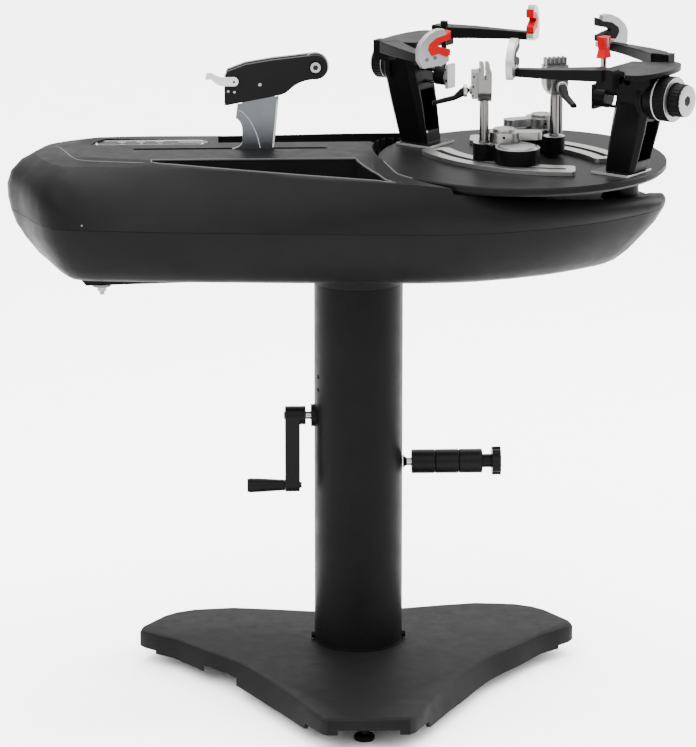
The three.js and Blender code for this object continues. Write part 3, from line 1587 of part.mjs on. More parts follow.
function armPad(side) {
  const mouth = openEnded(bracketPoints(mouthShares), 0.3);
  const body = acrossBracket(bracketPoints(padShares), bracket.padProud).subtract(acrossBracket(mouth, overrun));
  return side < 0 ? mirroredY(body) : body;
}

function ribbed(radius, ribs, depth) {
  const points = [];
  for (let i = 0; i < ribs * 2; i += 1) {
    const angle = i / (ribs * 2) * Math.PI * 2;
    const r = radius - (i % 2) * depth;
    points.push([r * Math.cos(angle), r * Math.sin(angle)]);
  }
  return outline(points);
}

function ribbedAlongX(radius, ribs, depth, x0, x1) {
  const geometry = new THREE.ExtrudeGeometry(ribbed(radius, ribs, depth), { depth: x1 - x0, bevelEnabled: false });
  geometry.rotateY(Math.PI / 2);
  geometry.translate(x0, 0, tower.knobHeight);
  return solid(geometry);
}

const knobGap = clearance * 2;

function bigRingKnob() {
  const k = bigKnob;
  const z = tower.knobHeight;
  const start = tower.bossReach.right + knobGap;
  const body = ribbedAlongX(k.radius, k.ribs, k.ribDepth, start, start + k.length)
    .add(alongX(k.sleeveRadius, start - k.sleeveDepth, start + overrun, 0, z, 18));
  return body.subtract(alongX(smallKnob.shaftRadius + clearance, start - k.sleeveDepth - overrun,
    start + k.length + overrun, 0, z, 20));
}

function smallEndKnob() {
  const k = smallKnob;
  const z = tower.knobHeight;
  const inner = tower.bossReach.right + knobGap;
  const start = inner + bigKnob.length + clearance;
  return ribbedAlongX(k.radius, k.ribs, bigKnob.ribDepth, start, start + k.length)
    .add(alongX(k.capRadius, start + k.length - overrun, start + k.length + k.cap, 0, z, 20))
    .add(alongX(k.shaftRadius, inner - bigKnob.sleeveDepth, start + overrun, 0, z, 14));
}

function soloRingKnob() {
  const k = soloKnob;
  const start = tower.bossReach.left + knobGap;
  return ribbedAlongX(k.radius, k.ribs, bigKnob.ribDepth, start, start + k.length)
    .add(alongX(k.radius * 0.8, start + k.length - overrun, start + k.length + k.face, 0, tower.knobHeight, 20))
    .add(alongX(bigKnob.sleeveRadius, start - bigKnob.sleeveDepth, start + overrun, 0, tower.knobHeight, 18));
}

function centreSupport(withYoke) {
  const s = support;
  const z = s.height;
  const face = s.u - s.plate;
  let body = alongX(s.drumRadius, s.u, s.u + s.drumLength, 0, z, 26);
  body = body.add(box(face, s.u + overrun / 2, -s.plateHalfWidth, s.plateHalfWidth,
    z - s.plateHeight / 2, z + s.plateHeight / 2));
  body = body.add(alongX(s.rodRadius, s.u, s.rodEnd, 0, tower.knobHeight, 14));
  body = body.add(alongX(s.thinRadius, s.u, s.rodEnd, 0, z - s.thinDrop, 12));
  const pinU = s.u + s.drumLength / 2;
  const pinTop = withYoke ? yoke.bottom + yoke.height / 2 : s.pegTop - s.pegHeight / 2;
  body = body.add(upright(s.pinRadius, z, pinTop, pinU, 0, 16));
  if (!withYoke) {
    return body.add(upright(s.pegRadius, s.pegTop - s.pegHeight, s.pegTop, pinU, 0, 14));
  }
  return body.add(yokeBlock(pinU));
}

function yokeBlock(u) {
  const half = yoke.width / 2;
  const waist = yoke.waist / 2;
  const z0 = yoke.bottom;
  const z1 = yoke.bottom + yoke.height;
  const shape = outline([
    [-half, 0], [half, 0], [waist, yoke.height * 0.4], [half * 0.85, yoke.height], [yoke.slot / 2, yoke.height],
    [yoke.slot / 2, yoke.height - yoke.slotDepth], [-yoke.slot / 2, yoke.height - yoke.slotDepth],
    [-yoke.slot / 2, yoke.height], [-half * 0.85, yoke.height], [-waist, yoke.height * 0.4],
  ]);
  const geometry = new THREE.ExtrudeGeometry(shape, { depth: yoke.thickness, bevelEnabled: false });
  geometry.applyMatrix4(new THREE.Matrix4().makeBasis(
    new THREE.Vector3(0, 1, 0), new THREE.Vector3(0, 0, 1), new THREE.Vector3(1, 0, 0)));
  geometry.translate(u - yoke.thickness / 2, 0, z0);
  return solid(geometry);
}

// Console

function keyPlaces() {
  return [0, 1, 2].map((i) => panelLeft + panel.firstKey + i * panel.keyPitch);
}

function keyRow() {
  return mix(panel.front, panel.back, 0.55);
}

const panelBottom = hull.deck - panel.depth + clearance;

function keyOval(width, depth, x, y) {
  const shape = new THREE.Shape();
  shape.absellipse(x, y, width / 2, depth / 2, 0, Math.PI * 2, false, 0);
  return shape;
}

function consolePanel() {
  let body = slab(consoleShape(-clearance), panelBottom, panelBottom + panel.thickness);
  for (const x of keyPlaces()) {
    body = body.subtract(slab(keyOval(panel.keyWidth + panel.keyHole * 2, panel.keyDepth + panel.keyHole * 2,
      x, keyRow()), panelBottom - overrun, panelBottom + panel.thickness * 2, 8));
  }
  return body;
}

function consoleKey(x) {
  const bottom = panelBottom + panel.keyHole;
  const cap = slab(keyOval(panel.keyWidth, panel.keyDepth, x, keyRow()), bottom,
    bottom + panel.thickness + panel.keyHole, 8);
  return cap.add(upright(panel.stem, bottom - panel.depth * 1.5, bottom + panel.keyHole, x, keyRow(), 14));
}

// Assembly

addPiece('base_plate', basePlate(), 'castPowder');
const footNames = ['foot_front', 'foot_rear_left', 'foot_rear_right'];
footPlaces().forEach(([x, y], i) => addPiece(footNames[i], levellingFoot(x, y), 'blackPlastic'));
addPiece('outer_column', outerColumn(), 'columnPaint');
addPiece('column_collar', columnCollar(), 'blackPlastic');
addPiece('inner_column', innerColumnTube(), 'columnPaint');
addPiece('crank_shaft', crankShaft(), 'steel');
addPiece('crank_arm', crankArm(), 'blackPlastic');
addPiece('crank_grip', crankGrip(), 'blackPlastic');
addPiece('reel_spindle', reelSpindle(), 'steel');
for (let i = 0; i < reel.sleeves; i += 1) {
  addPiece(`reel_sleeve_${i + 1}`, reelSleeve(i), 'blackPlastic');
}
addPiece('reel_star_knob', starKnob(), 'blackPlastic');

addPiece('lower_shell', lowerShell(), 'hullPlastic');
addPiece('upper_shell', upperShell(), 'hullPlastic');
addPiece('under_plate', underPlate(), 'blackPlastic');
addPiece('chassis_beam', chassisBeam(), 'darkSteel');
addPiece('drive_motor', driveMotor(), 'darkSteel');
addPiece('drive_screw', driveScrew(), 'steel');
addPiece('console_panel', consolePanel(), 'panel');
keyPlaces().forEach((x, i) => addPiece(`console_key_${i + 1}`, consoleKey(x), 'key'));

addPiece('tension_carriage', tensionCarriage(), 'darkSteel');
addPiece('carriage_blade', carriageBlade(), 'brushed');
addPiece('gripper_body', gripperBody(), 'blackPlastic');
addPiece('moving_jaw', movingJaw(), 'brushed');
addPiece('nose_roller', noseRoller(), 'brushed');
addPiece('release_lever', releaseLever(), 'white');

addPiece('turntable_disc', turntableDisc(), 'discPlate', turntable);
addPiece('turntable_bearing', turntableBearing(), 'darkSteel');
addPiece('brake_knob', brakeKnob(), 'blackPlastic');
addPiece('glide_rail_front', glideRail(-1), 'steel', turntable);
addPiece('glide_rail_rear', glideRail(1), 'steel', turntable);

const towers = [['right', 0], ['left', 180]];
for (const [name, turn] of towers) {
  const group = new THREE.Group();
  group.rotation.z = radians(turn);
  turntable.add(group);
  addPiece(`tower_${name}`, towerCasting(name), 'blackPlastic', group);
  addPiece(`side_arm_knob_${name}`, name === 'right' ? bigRingKnob() : soloRingKnob(), 'blackPlastic', group);
  if (name === 'right') {
    addPiece('support_knob', smallEndKnob(), 'brushed', group);
  }
  addPiece(`centre_support_${name}`, centreSupport(name === 'right'), 'blackPlastic', group);
  for (const [end, side] of [['near', -1], ['far', 1]]) {
    const place = name === 'right' ? end : { near: 'far', far: 'near' }[end];
    addPiece(`side_arm_${name}_${place}`, sideArm(side), 'blackPlastic', group);
    addPiece(`arm_pad_${name}_${place}`, armPad(side), name === 'left' ? 'red' : 'blackPlastic', group);
  }
}

for (const [name, turn] of [['front', 0], ['rear', 180]]) {
  const places = clampPlaces[name];
  const group = new THREE.Group();
  group.rotation.z = radians(turn);
  turntable.add(group);
  addPiece(`clamp_base_${name}`, clampFoot(places), 'blackPlastic', group);
  addPiece(`clamp_lock_${name}`, lockingLever(places), 'cast', group);
  const head = new THREE.Group();
  head.position.set(...places.socket, 0);
  head.rotation.z = radians(places.headTurn - turn - disc.turn);
  group.add(head);
  addPiece(`clamp_head_${name}`, clampHeadAndPost(), 'cast', head);
  addPiece(`clamp_lever_${name}`, clampLever(), 'blackPlastic', head);
}

export default machine;
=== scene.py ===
import json
import math

import bmesh
import bpy
from mathutils import Matrix, Vector
from mathutils.bvhtree import BVHTree


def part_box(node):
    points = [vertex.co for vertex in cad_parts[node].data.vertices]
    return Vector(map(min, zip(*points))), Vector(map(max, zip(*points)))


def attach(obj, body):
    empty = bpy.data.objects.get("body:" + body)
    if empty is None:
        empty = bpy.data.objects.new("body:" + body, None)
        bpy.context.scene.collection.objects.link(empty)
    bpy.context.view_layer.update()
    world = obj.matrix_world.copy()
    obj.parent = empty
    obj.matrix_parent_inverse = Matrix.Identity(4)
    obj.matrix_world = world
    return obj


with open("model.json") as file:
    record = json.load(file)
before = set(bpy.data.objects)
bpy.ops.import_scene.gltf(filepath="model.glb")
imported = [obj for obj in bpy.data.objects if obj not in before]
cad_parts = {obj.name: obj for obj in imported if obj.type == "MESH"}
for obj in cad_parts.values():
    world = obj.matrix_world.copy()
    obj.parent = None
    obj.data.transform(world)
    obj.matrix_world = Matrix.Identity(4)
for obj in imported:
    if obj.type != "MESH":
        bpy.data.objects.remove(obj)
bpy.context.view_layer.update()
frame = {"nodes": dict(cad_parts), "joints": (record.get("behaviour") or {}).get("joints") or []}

# Places and sizes are in millimetres until they reach a mesh or a shader.
# Those of the floor and the lights are in metres.
MM = 0.001
FRONT = (0, -1, 0)


def low(node):
    """The lowest corner of a node's box."""
    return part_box(node)[0] / MM


def high(node):
    """The highest corner of a node's box."""
    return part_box(node)[1] / MM


def middle(node):
    start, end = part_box(node)
    return (start + end) / 2 / MM


def points_of(node):
    return [vertex.co / MM for vertex in frame["nodes"][node].data.vertices]


def box_middle(points):
    """The middle of the box that holds some points."""
    return Vector([(min(p[axis] for p in points) + max(p[axis] for p in points)) / 2 for axis in range(3)])


def joint_axis(name):
    return Vector(next(joint for joint in frame["joints"] if joint["name"] == name)["axis"])


# Local frames: the column's axis at the floor, the disc's top and each tower's own outward X
column = Matrix.Translation((middle("column_collar").x, middle("column_collar").y, 0))
outward = joint_axis("support_right_slide")
disc_middle = middle("turntable_disc")
disc_top = high("turntable_disc").z
turntable = Matrix.Translation((disc_middle.x, disc_middle.y, disc_top)) @ Matrix.Rotation(
    math.atan2(outward.y, outward.x), 4, "Z")
towers = {"right": turntable, "left": turntable @ Matrix.Rotation(math.pi, 4, "Z")}
# How far the knobs' axes are above the disc
knob_height = middle("side_arm_knob_right").z - disc_top


# The photo's camera: tilted down, turned a little and far away
PHOTO_SIZE = (696, 747)
PITCH = math.radians(14.9)
AZIMUTH = math.radians(-2.2)
DISTANCE = 6500
MILLIMETRES_PER_PIXEL = 1.5
aim = column @ Vector((-15.75, 0, 469.12))
backwards = Vector((
    math.sin(AZIMUTH) * math.cos(PITCH), -math.cos(AZIMUTH) * math.cos(PITCH), math.sin(PITCH)))
view = (-backwards).to_track_quat("-Z", "Y")


# Materials

# Most of a noise lies between these
NOISE_LOW = 0.3
NOISE_HIGH = 0.7
BEVEL_SAMPLES = 4


def material(name, build):
    made = bpy.data.materials.new(f"{name}_look")
    made.use_nodes = True
    build(made.node_tree, made.node_tree.nodes["Principled BSDF"])
    return made


def linked(tree, kind, inputs=None, **settings):
    """A new node with its settings, its inputs set or linked to other nodes."""
    node = tree.nodes.new(kind)
    for key, value in settings.items():
        setattr(node, key, value)
    for key, value in (inputs or {}).items():
        if hasattr(value, "links"):
            tree.links.new(value, node.inputs[key])
        else:
            node.inputs[key].default_value = value
    return node


def noise(tree, scale, detail, rough=0.55, stretch=(1, 1, 1)):
    """Noise in the object's own space."""
    here = linked(tree, "ShaderNodeTexCoord").outputs["Object"]
    place = linked(tree, "ShaderNodeMapping", {"Vector": here, "Scale": stretch}).outputs["Vector"]
    return linked(tree, "ShaderNodeTexNoise", {
        "Vector": place, "Scale": scale, "Detail": detail, "Roughness": rough}).outputs["Fac"]


def spread(tree, value, least, most):
    """A noise stretched to run from the least value to the most."""
    return linked(tree, "ShaderNodeMapRange", {
        "Value": value, "From Min": NOISE_LOW, "From Max": NOISE_HIGH,
        "To Min": least, "To Max": most}).outputs["Result"]


def scaled(color, factor):
    return (*(min(1.0, channel * factor) for channel in color), 1)


def clouded(tree, shader, color, scale, mottle):
    """A base colour that drifts a little darker and lighter over the piece."""
    cloud = spread(tree, noise(tree, scale, detail=3), least=0, most=1)
    tone = linked(tree, "ShaderNodeMix", {"Factor": cloud}, data_type="RGBA")
    tone.inputs["A"].default_value = scaled(color, 1 - mottle)
    tone.inputs["B"].default_value = scaled(color, 1 + mottle)
    tree.links.new(tone.outputs["Result"], shader.inputs["Base Color"])


def glossed(tree, shader, value, least, most):
    """A roughness that follows a noise."""
    tree.links.new(spread(tree, value, least, most), shader.inputs["Roughness"])


def embossed(tree, shader, height, strength, depth, edge):
    """Fine relief on a surface whose edges are shaded as if rounded, where edge is the radius."""
    bevel = linked(tree, "ShaderNodeBevel", {"Radius": edge * MM}, samples=BEVEL_SAMPLES).outputs["Normal"]
    bump = linked(tree, "ShaderNodeBump", {
        "Height": height, "Strength": strength, "Distance": depth * MM, "Normal": bevel})
    tree.links.new(bump.outputs["Normal"], shader.inputs["Normal"])


def moulded(name, color, rough, grain=700, relief=0.12, mottle=0.14, edge=0.7, gloss=0.05):
    """Moulded, cast or powder-coated surface: fine grain, cloudy tone and a slightly uneven gloss."""
    def build(tree, shader):
        smear = noise(tree, scale=38, detail=5, rough=0.62)
        clouded(tree, shader, color, scale=11, mottle=mottle)
        glossed(tree, shader, smear, least=rough - 0.05, most=rough + 0.06)
        embossed(tree, shader, noise(tree, grain, detail=4), relief, depth=0.3, edge=edge)
        shader.inputs["Specular IOR Level"].default_value = gloss
    return material(name, build)


def metal(name, color, rough, grain, relief, edge=0.5, stretch=(1, 1, 1)):
    """Bare or plated metal with the fine lines of its machining."""
    def build(tree, shader):
        lines = noise(tree, grain, detail=4, rough=0.6, stretch=stretch)
        clouded(tree, shader, color, scale=25, mottle=0.06)
        glossed(tree, shader, lines, least=rough * 0.8, most=rough * 1.25)
        embossed(tree, shader, lines, relief, depth=0.1, edge=edge)
        shader.inputs["Metallic"].default_value = 1
    return material(name, build)


def turned_plate(name, color, rough, centre):
    """A dark coated plate with the faint rings of turning around its centre."""
    def build(tree, shader):
        here = linked(tree, "ShaderNodeTexCoord").outputs["Object"]
        offset = linked(tree, "ShaderNodeVectorMath", {0: here, 1: centre * MM}, operation="SUBTRACT")
        flat = linked(tree, "ShaderNodeVectorMath", {
            0: offset.outputs["Vector"], 1: (1, 1, 0)}, operation="MULTIPLY")
        away = linked(tree, "ShaderNodeVectorMath", {0: flat.outputs["Vector"]}, operation="LENGTH")
        rings = linked(tree, "ShaderNodeTexNoise", {
            "W": away.outputs["Value"], "Scale": 900, "Detail": 2}, noise_dimensions="1D").outputs["Fac"]
        clouded(tree, shader, color, scale=9, mottle=0.12)
        glossed(tree, shader, rings, least=rough - 0.05, most=rough + 0.07)
        embossed(tree, shader, rings, strength=0.06, depth=0.1, edge=0.8)
        shader.inputs["Specular IOR Level"].default_value = 0.03
    return material(name, build)


# Coats and castings
BASE_COAT = moulded("base_coat", (0.0034, 0.0034, 0.0036), 0.5, grain=900, relief=0.22, gloss=0.035)
COLUMN_COAT = moulded("column_coat", (0.0024, 0.0024, 0.0025), 0.42, grain=900, relief=0.1, gloss=0.03)
CASTING = moulded("black_casting", (0.0012, 0.0012, 0.0013), 0.34, relief=0.14, edge=3, gloss=0.03)
DISC = turned_plate("disc_coat", (0.003, 0.003, 0.0032), 0.42, disc_middle)

# Plastics and rubbers
HULL = moulded(
    "hull_moulding", (0.0033, 0.0033, 0.0035), 0.44, grain=1100, relief=0.16, edge=1.2, gloss=0.032)
# Lighter than the hull, so the ridge bead and the tray lips carry a painted highlight
LIP_HIGHLIGHT = moulded("hull_lip_highlight", (0.02, 0.02, 0.021), 0.36, grain=1100, relief=0.1, gloss=0.12)
BLACK = moulded("black_moulding", (0.0022, 0.0022, 0.0024), 0.4, grain=900)
KNURL = moulded("knurled_black", (0.0012, 0.0012, 0.0013), 0.45, grain=600, relief=0.3, gloss=0.03)
# Nearly black: painted shade for holes, grooves and recesses, also used for the dots of the front head's
# rivets
RECESS_SHADE = moulded("recess_shade", (0.0008, 0.0008, 0.0008), 0.6, grain=900, relief=0.1, gloss=0.01)
KEY = moulded("key_moulding", (0.1, 0.102, 0.105), 0.45, grain=1300, relief=0.05)
WHITE = moulded("white_moulding", (0.3, 0.3, 0.295), 0.35, grain=900, relief=0.05, gloss=0.1)
RED = moulded("red_rubber", (0.22, 0.0007, 0.0024), 0.46, relief=0.1, gloss=0.02)
BLACK_PAD = moulded("black_rubber", (0.004, 0.004, 0.0042), 0.6, relief=0.2)

# Films and prints
PANEL = moulded("panel_film", (0.012, 0.0122, 0.0125), 0.42, grain=1300, relief=0.05)
DISPLAY = moulded("display_film", (0.05, 0.051, 0.053), 0.5, grain=160, relief=0.05, mottle=0.5, gloss=0.03)
MARK = moulded("pale_print", (0.24, 0.24, 0.245), 0.5, grain=900, relief=0.04)

# Metals
CHROME = metal("bright_steel", (0.17, 0.167, 0.162), 0.16, grain=300, relief=0.03)
RAIL_STEEL = metal("rail_steel", (0.19, 0.187, 0.182), 0.36, grain=300, relief=0.03)
BRUSHED = metal("brushed_steel", (0.066, 0.07, 0.074), 0.34, grain=60, relief=0.08, stretch=(1, 40, 40))
POST = metal("post_steel", (0.09, 0.086, 0.084), 0.2, grain=60, relief=0.05, stretch=(30, 30, 1))
DARK_STEEL = metal("dark_steel", (0.01, 0.01, 0.0105), 0.35, grain=60, relief=0.08, stretch=(1, 30, 30))
CAST = metal("silver_casting", (0.2, 0.2, 0.197), 0.42, grain=900, relief=0.1, edge=0.8)
CLAMP_CAST = metal("clamp_casting", (0.15, 0.148, 0.145), 0.3, grain=900, relief=0.1, edge=0.8)
CLAMP_HEAD = metal("clamp_head_casting", (0.095, 0.093, 0.09), 0.3, grain=900, relief=0.1, edge=0.8)
THIN_PLATE = metal("thin_silver_plate", (0.34, 0.34, 0.335), 0.45, grain=700, relief=0.06)

# The nodes of each finish. Nodes that are not here are black mouldings.
NODE_FINISHES = (
    (BASE_COAT, ["base_plate"]),
    (COLUMN_COAT, ["outer_column", "inner_column", "under_plate"]),
    (CASTING, [
        "tower_right", "tower_left", "centre_support_right", "centre_support_left",
        "side_arm_right_near", "side_arm_right_far", "side_arm_left_near", "side_arm_left_far",
        "clamp_base_front", "clamp_base_rear", "clamp_lever_front", "clamp_lever_rear"]),
    (DISC, ["turntable_disc"]),
    (HULL, ["lower_shell", "upper_shell"]),
    (KNURL, ["side_arm_knob_right", "side_arm_knob_left", "support_knob"]),
    (KEY, ["console_key_1", "console_key_2", "console_key_3"]),
    (WHITE, ["release_lever"]),
    (RED, ["arm_pad_left_near", "arm_pad_left_far"]),
    (BLACK_PAD, ["arm_pad_right_near", "arm_pad_right_far"]),
    (PANEL, ["console_panel"]),
    (CHROME, ["crank_shaft", "reel_spindle", "drive_screw", "nose_roller"]),
    (RAIL_STEEL, ["glide_rail_front", "glide_rail_rear"]),
    (BRUSHED, ["carriage_blade", "moving_jaw"]),
    (DARK_STEEL, ["chassis_beam", "drive_motor", "tension_carriage", "turntable_bearing"]),
    (CLAMP_CAST, ["clamp_lock_front", "clamp_lock_rear"]),
    (CLAMP_HEAD, ["clamp_head_front", "clamp_head_rear"]),
)
node_finish = {node: finish for finish, nodes in NODE_FINISHES for node in nodes}


# Shading of the nodes

WELD = 0.005
CREASE = math.radians(32)
HULL_CREASE = math.radians(50)
# The hull's ridge is fainter. It lies this near to the hull's top, and this far left of the disc.
RIDGE_CREASE = math.radians(7.5)
RIDGE_DEPTH = 14
RIDGE_FROM_DISC = 40


def compared(tree, operation, a, b):
    return linked(tree, "FunctionNodeCompare", {
        "A": a, "B": b}, data_type="FLOAT", operation=operation).outputs["Result"]


def combined(tree, operation, a, b):
    return linked(tree, "FunctionNodeBooleanMath", {0: a, 1: b}, operation=operation).outputs["Boolean"]


def crease_group(name, crease, ridge_from=None):
    """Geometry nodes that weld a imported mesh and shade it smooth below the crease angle.

    Fainter creases are kept too above and to the left of a point, if one is given.
    """
    group = bpy.data.node_groups.new(name, "GeometryNodeTree")
    group.interface.new_socket("Geometry", in_out="INPUT", socket_type="NodeSocketGeometry")
    group.interface.new_socket("Geometry", in_out="OUTPUT", socket_type="NodeSocketGeometry")
    start = linked(group, "NodeGroupInput")
    weld = linked(group, "GeometryNodeMergeByDistance", {
        "Geometry": start.outputs["Geometry"], "Distance": WELD * MM})
    smooth = linked(group, "GeometryNodeSetShadeSmooth", {
        "Geometry": weld.outputs["Geometry"]}, domain="FACE")
    angle = linked(group, "GeometryNodeInputMeshEdgeAngle").outputs["Unsigned Angle"]
    sharp = compared(group, "GREATER_THAN", angle, crease)
    if ridge_from is not None:
        position = linked(group, "GeometryNodeInputPosition").outputs["Position"]
        place = linked(group, "ShaderNodeSeparateXYZ", {"Vector": position})
        above = compared(group, "GREATER_THAN", place.outputs["Z"], ridge_from.z * MM)
        beside = compared(group, "LESS_THAN", place.outputs["X"], ridge_from.x * MM)
        folded = compared(group, "GREATER_THAN", angle, RIDGE_CREASE)
        ridge = combined(group, "AND", combined(group, "AND", above, beside), folded)
        sharp = combined(group, "OR", sharp, ridge)
    edges = linked(group, "GeometryNodeSetShadeSmooth", {
        "Geometry": smooth.outputs["Geometry"], "Selection": sharp, "Shade Smooth": False}, domain="EDGE")
    linked(group, "NodeGroupOutput", {"Geometry": edges.outputs["Geometry"]})
    return group


def dress_nodes():
    usual = crease_group("smooth_by_crease", CREASE)
    ridge_from = Vector((low("turntable_disc").x - RIDGE_FROM_DISC, 0, high("upper_shell").z - RIDGE_DEPTH))
    hull = {
        "upper_shell": crease_group("smooth_upper_shell", HULL_CREASE, ridge_from),
        "lower_shell": crease_group("smooth_lower_shell", HULL_CREASE),
    }
    for name, node in frame["nodes"].items():
        node.data.materials.clear()
        node.data.materials.append(node_finish.get(name, BLACK))
        node.modifiers.new("smooth", "NODES").node_group = hull.get(name, usual)


def paint(name, finish, test):
    """Gives the finish to the faces of a node whose middle passes the test."""
    mesh = frame["nodes"][name].data
    mesh.materials.append(finish)
    slot = len(mesh.materials) - 1
    for face in mesh.polygons:
        if test(Vector(face.center) / MM):
            face.material_index = slot


# Shapes of pieces

ROUND = 48
FINE_ROUND = 72
HEAD_STEPS = 6
LINE_STEPS = 8
BEAD_SIDES = 8
# A ring's foot is sunk this far, and a line whose ends are this near to each other is closed
RING_SINK = 0.4
SAME_PLACE = 0.01


def piece(name, shape, finish, body, place=Matrix.Identity(4)):
    """An object from a bmesh, riding on a body."""
    bmesh.ops.recalc_face_normals(shape, faces=shape.faces)
    mesh = bpy.data.meshes.new(name)
    shape.transform(Matrix.Scale(MM, 4) @ place)
    shape.to_mesh(mesh)
    shape.free()
    mesh.materials.append(finish)
    mesh.shade_smooth()
    mesh.set_sharp_from_angle(angle=CREASE)
    made = bpy.data.objects.new(name, mesh)
    bpy.context.scene.collection.objects.link(made)
    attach(made, body)


def at(x, y, z):
    return Matrix.Translation((x, y, z))


def facing(origin, direction):
    """A place at a point whose Z axis points along a direction."""
    return Matrix.Translation(origin) @ Vector(direction).to_track_quat("Z", "Y").to_matrix().to_4x4()


def mix(a, b, share):
    return a + (b - a) * share


def ring_points(radius, height, count=ROUND, share=None):
    """Points around Z, where a share of the radius may depend on the angle."""
    points = []
    for index in range(count):
        angle = math.tau * index / count
        reach = radius * (share(angle) if share else 1)
        points.append((reach * math.cos(angle), reach * math.sin(angle), height))
    return points


def hexagon(angle):
    """The share of a hexagon's corner radius at an angle."""
    sector = math.pi / 3
    return math.cos(sector / 2) / math.cos((angle % sector) - sector / 2)


def skin(rings, capped=True):
    """Faces between rings of equally many points, and over both ends if they are capped."""
    made = bmesh.new()
    loops = [[made.verts.new(point) for point in ring] for ring in rings]
    count = len(loops[0])
    for below, above in zip(loops, loops[1:]):
        for i in range(count):
            made.faces.new((below[i], below[(i + 1) % count], above[(i + 1) % count], above[i]))
    if capped:
        made.faces.new(reversed(loops[0]))
        made.faces.new(loops[-1])
    return made


def turned(profile, count=ROUND):
    """A closed disc or rod turned about Z from points of a radius and a height."""
    return skin([ring_points(radius, height, count) for radius, height in profile])


def face_ring(outer, inner, height):
    """A flat ring with broken edges, its seat at Z 0."""
    edge = height * 0.4
    profile = (
        (outer, -RING_SINK), (outer, height - edge), (outer - edge, height),
        (inner + edge, height), (inner, height - edge), (inner, -RING_SINK))
    return skin([ring_points(radius, level, FINE_ROUND) for radius, level in profile], capped=False)


def socket_head(radius, height, dome=0.3, socket=0.5, depth=0.6, count=ROUND, sink=0.5):
    """A round head with a hexagonal socket, its seat at Z 0."""
    edge = min(radius, height) * 0.28
    key = radius * socket
    top = height + dome
    return skin([
        ring_points(radius, -sink, count),
        ring_points(radius, height - edge, count),
        ring_points(radius - edge * 0.3, height - edge * 0.3, count),
        ring_points(radius - edge, height, count),
        ring_points(mix(radius, key, 0.6), top, count),
        ring_points(key * 1.12, top, count, hexagon),
        ring_points(key, top - key * 0.08, count, hexagon),
        ring_points(key, top - height * depth, count, hexagon),
    ])


def round_head(radius, height, count=32, sink=0.4):
    """A low round rivet or pin head, its seat at Z 0."""
    rings = [ring_points(radius, -sink, count)]
    for step in range(HEAD_STEPS):
        lean = math.pi / 2 * step / HEAD_STEPS
        rings.append(ring_points(radius * math.cos(lean), height * math.sin(lean), count))
    return skin(rings)


def dot(radius, height=0.2):
    """A small round mark that hardly stands out."""
    return round_head(radius, height, count=24, sink=0.1)


def inset(outline, distance):
    """An outline drawn in by a distance."""
    drawn = []
    for index, (x, y) in enumerate(outline):
        before = outline[index - 1]
        after = outline[(index + 1) % len(outline)]
        along = Vector((after[0] - before[0], after[1] - before[1])).normalized()
        drawn.append((x - along.y * distance, y + along.x * distance))
    return drawn


def plate(outline, bottom, top, edge=0.0):
    """A flat plate from an outline in XY, with its top edge broken by a small chamfer."""
    levels = [(outline, bottom), (outline, top - edge)]
    if edge:
        levels.append((inset(outline, edge), top))
    return skin([[(x, y, level) for x, y in line] for line, level in levels])


def rounded_box(width, depth, radius, steps=6):
    """The outline of a rectangle with rounded corners."""
    points = []
    for corner, (side_x, side_y) in enumerate([(1, 1), (-1, 1), (-1, -1), (1, -1)]):
        for step in range(steps + 1):
            angle = math.pi / 2 * (corner + step / steps)
            points.append((side_x * (width / 2 - radius) + radius * math.cos(angle),
                           side_y * (depth / 2 - radius) + radius * math.sin(angle)))
    return points


def ribbon(points, width, lift, normal):
    """A thin strip along a line of points on a surface."""
    made = bmesh.new()
    normal = Vector(normal)
    rows = []
    for index, here in enumerate(points):
        ahead = points[min(index + 1, len(points) - 1)] - points[max(index - 1, 0)]
        side = ahead.normalized().cross(normal) * width / 2
        rows.append([made.verts.new(spot) for spot in (
            here - side, here - side * 0.7 + normal * lift, here + side * 0.7 + normal * lift, here + side)])
    for a, b in zip(rows, rows[1:]):
        for i in range(3):
            made.faces.new((a[i], a[i + 1], b[i + 1], b[i]))
    return made


def smooth_line(points):
    """More points along a line, by Catmull-Rom."""
    ends = [points[0] * 2 - points[1], *points, points[-1] * 2 - points[-2]]
    line = []
    for i in range(1, len(ends) - 2):
        p0, p1, p2, p3 = ends[i - 1:i + 3]
        for step in range(LINE_STEPS):
            t = step / LINE_STEPS
            line.append(0.5 * (2 * p1 + (p2 - p0) * t + (2 * p0 - 5 * p1 + 4 * p2 - p3) * t * t
                               + (3 * p1 - p0 - 3 * p2 + p3) * t ** 3))
    line.append(points[-1])
    return line


def bead(points, radius, lift):
    """A thin rounded lip that follows a line of points."""
    closed = (points[0] - points[-1]).length < SAME_PLACE
    if closed:
        points = points[:-1]
    up = Vector((0, 0, 1))
    rings = []
    for index, point in enumerate(points):
        before = points[index - 1] if closed or index else point
        after = points[(index + 1) % len(points)] if closed or index + 1 < len(points) else point
        side = (after - before).normalized().cross(up).normalized()
        angles = [math.tau * step / BEAD_SIDES for step in range(BEAD_SIDES)]
        rings.append([point + side * radius * math.cos(angle) + up * (lift + radius * math.sin(angle))
                      for angle in angles])
    if closed:
        rings.append(rings[0])
    return skin(rings, capped=not closed)


# Places on nodes

trees = {}


def surface(node, start, direction):
    """Where a line meets a node, and the surface's outward direction there."""
    if node not in trees:
        mesh = frame["nodes"][node].data
        trees[node] = BVHTree.FromPolygons(
            [vertex.co.copy() for vertex in mesh.vertices], [tuple(face.vertices) for face in mesh.polygons])
    hit, normal = trees[node].ray_cast(Vector(start) * MM, Vector(direction).normalized())[:2]
    if normal.dot(Vector(direction)) > 0:
        normal = -normal
    return hit / MM, normal


def standing(node, start, direction):
    """A place on a node where a line meets it, facing outwards."""
    return facing(*surface(node, start, direction))


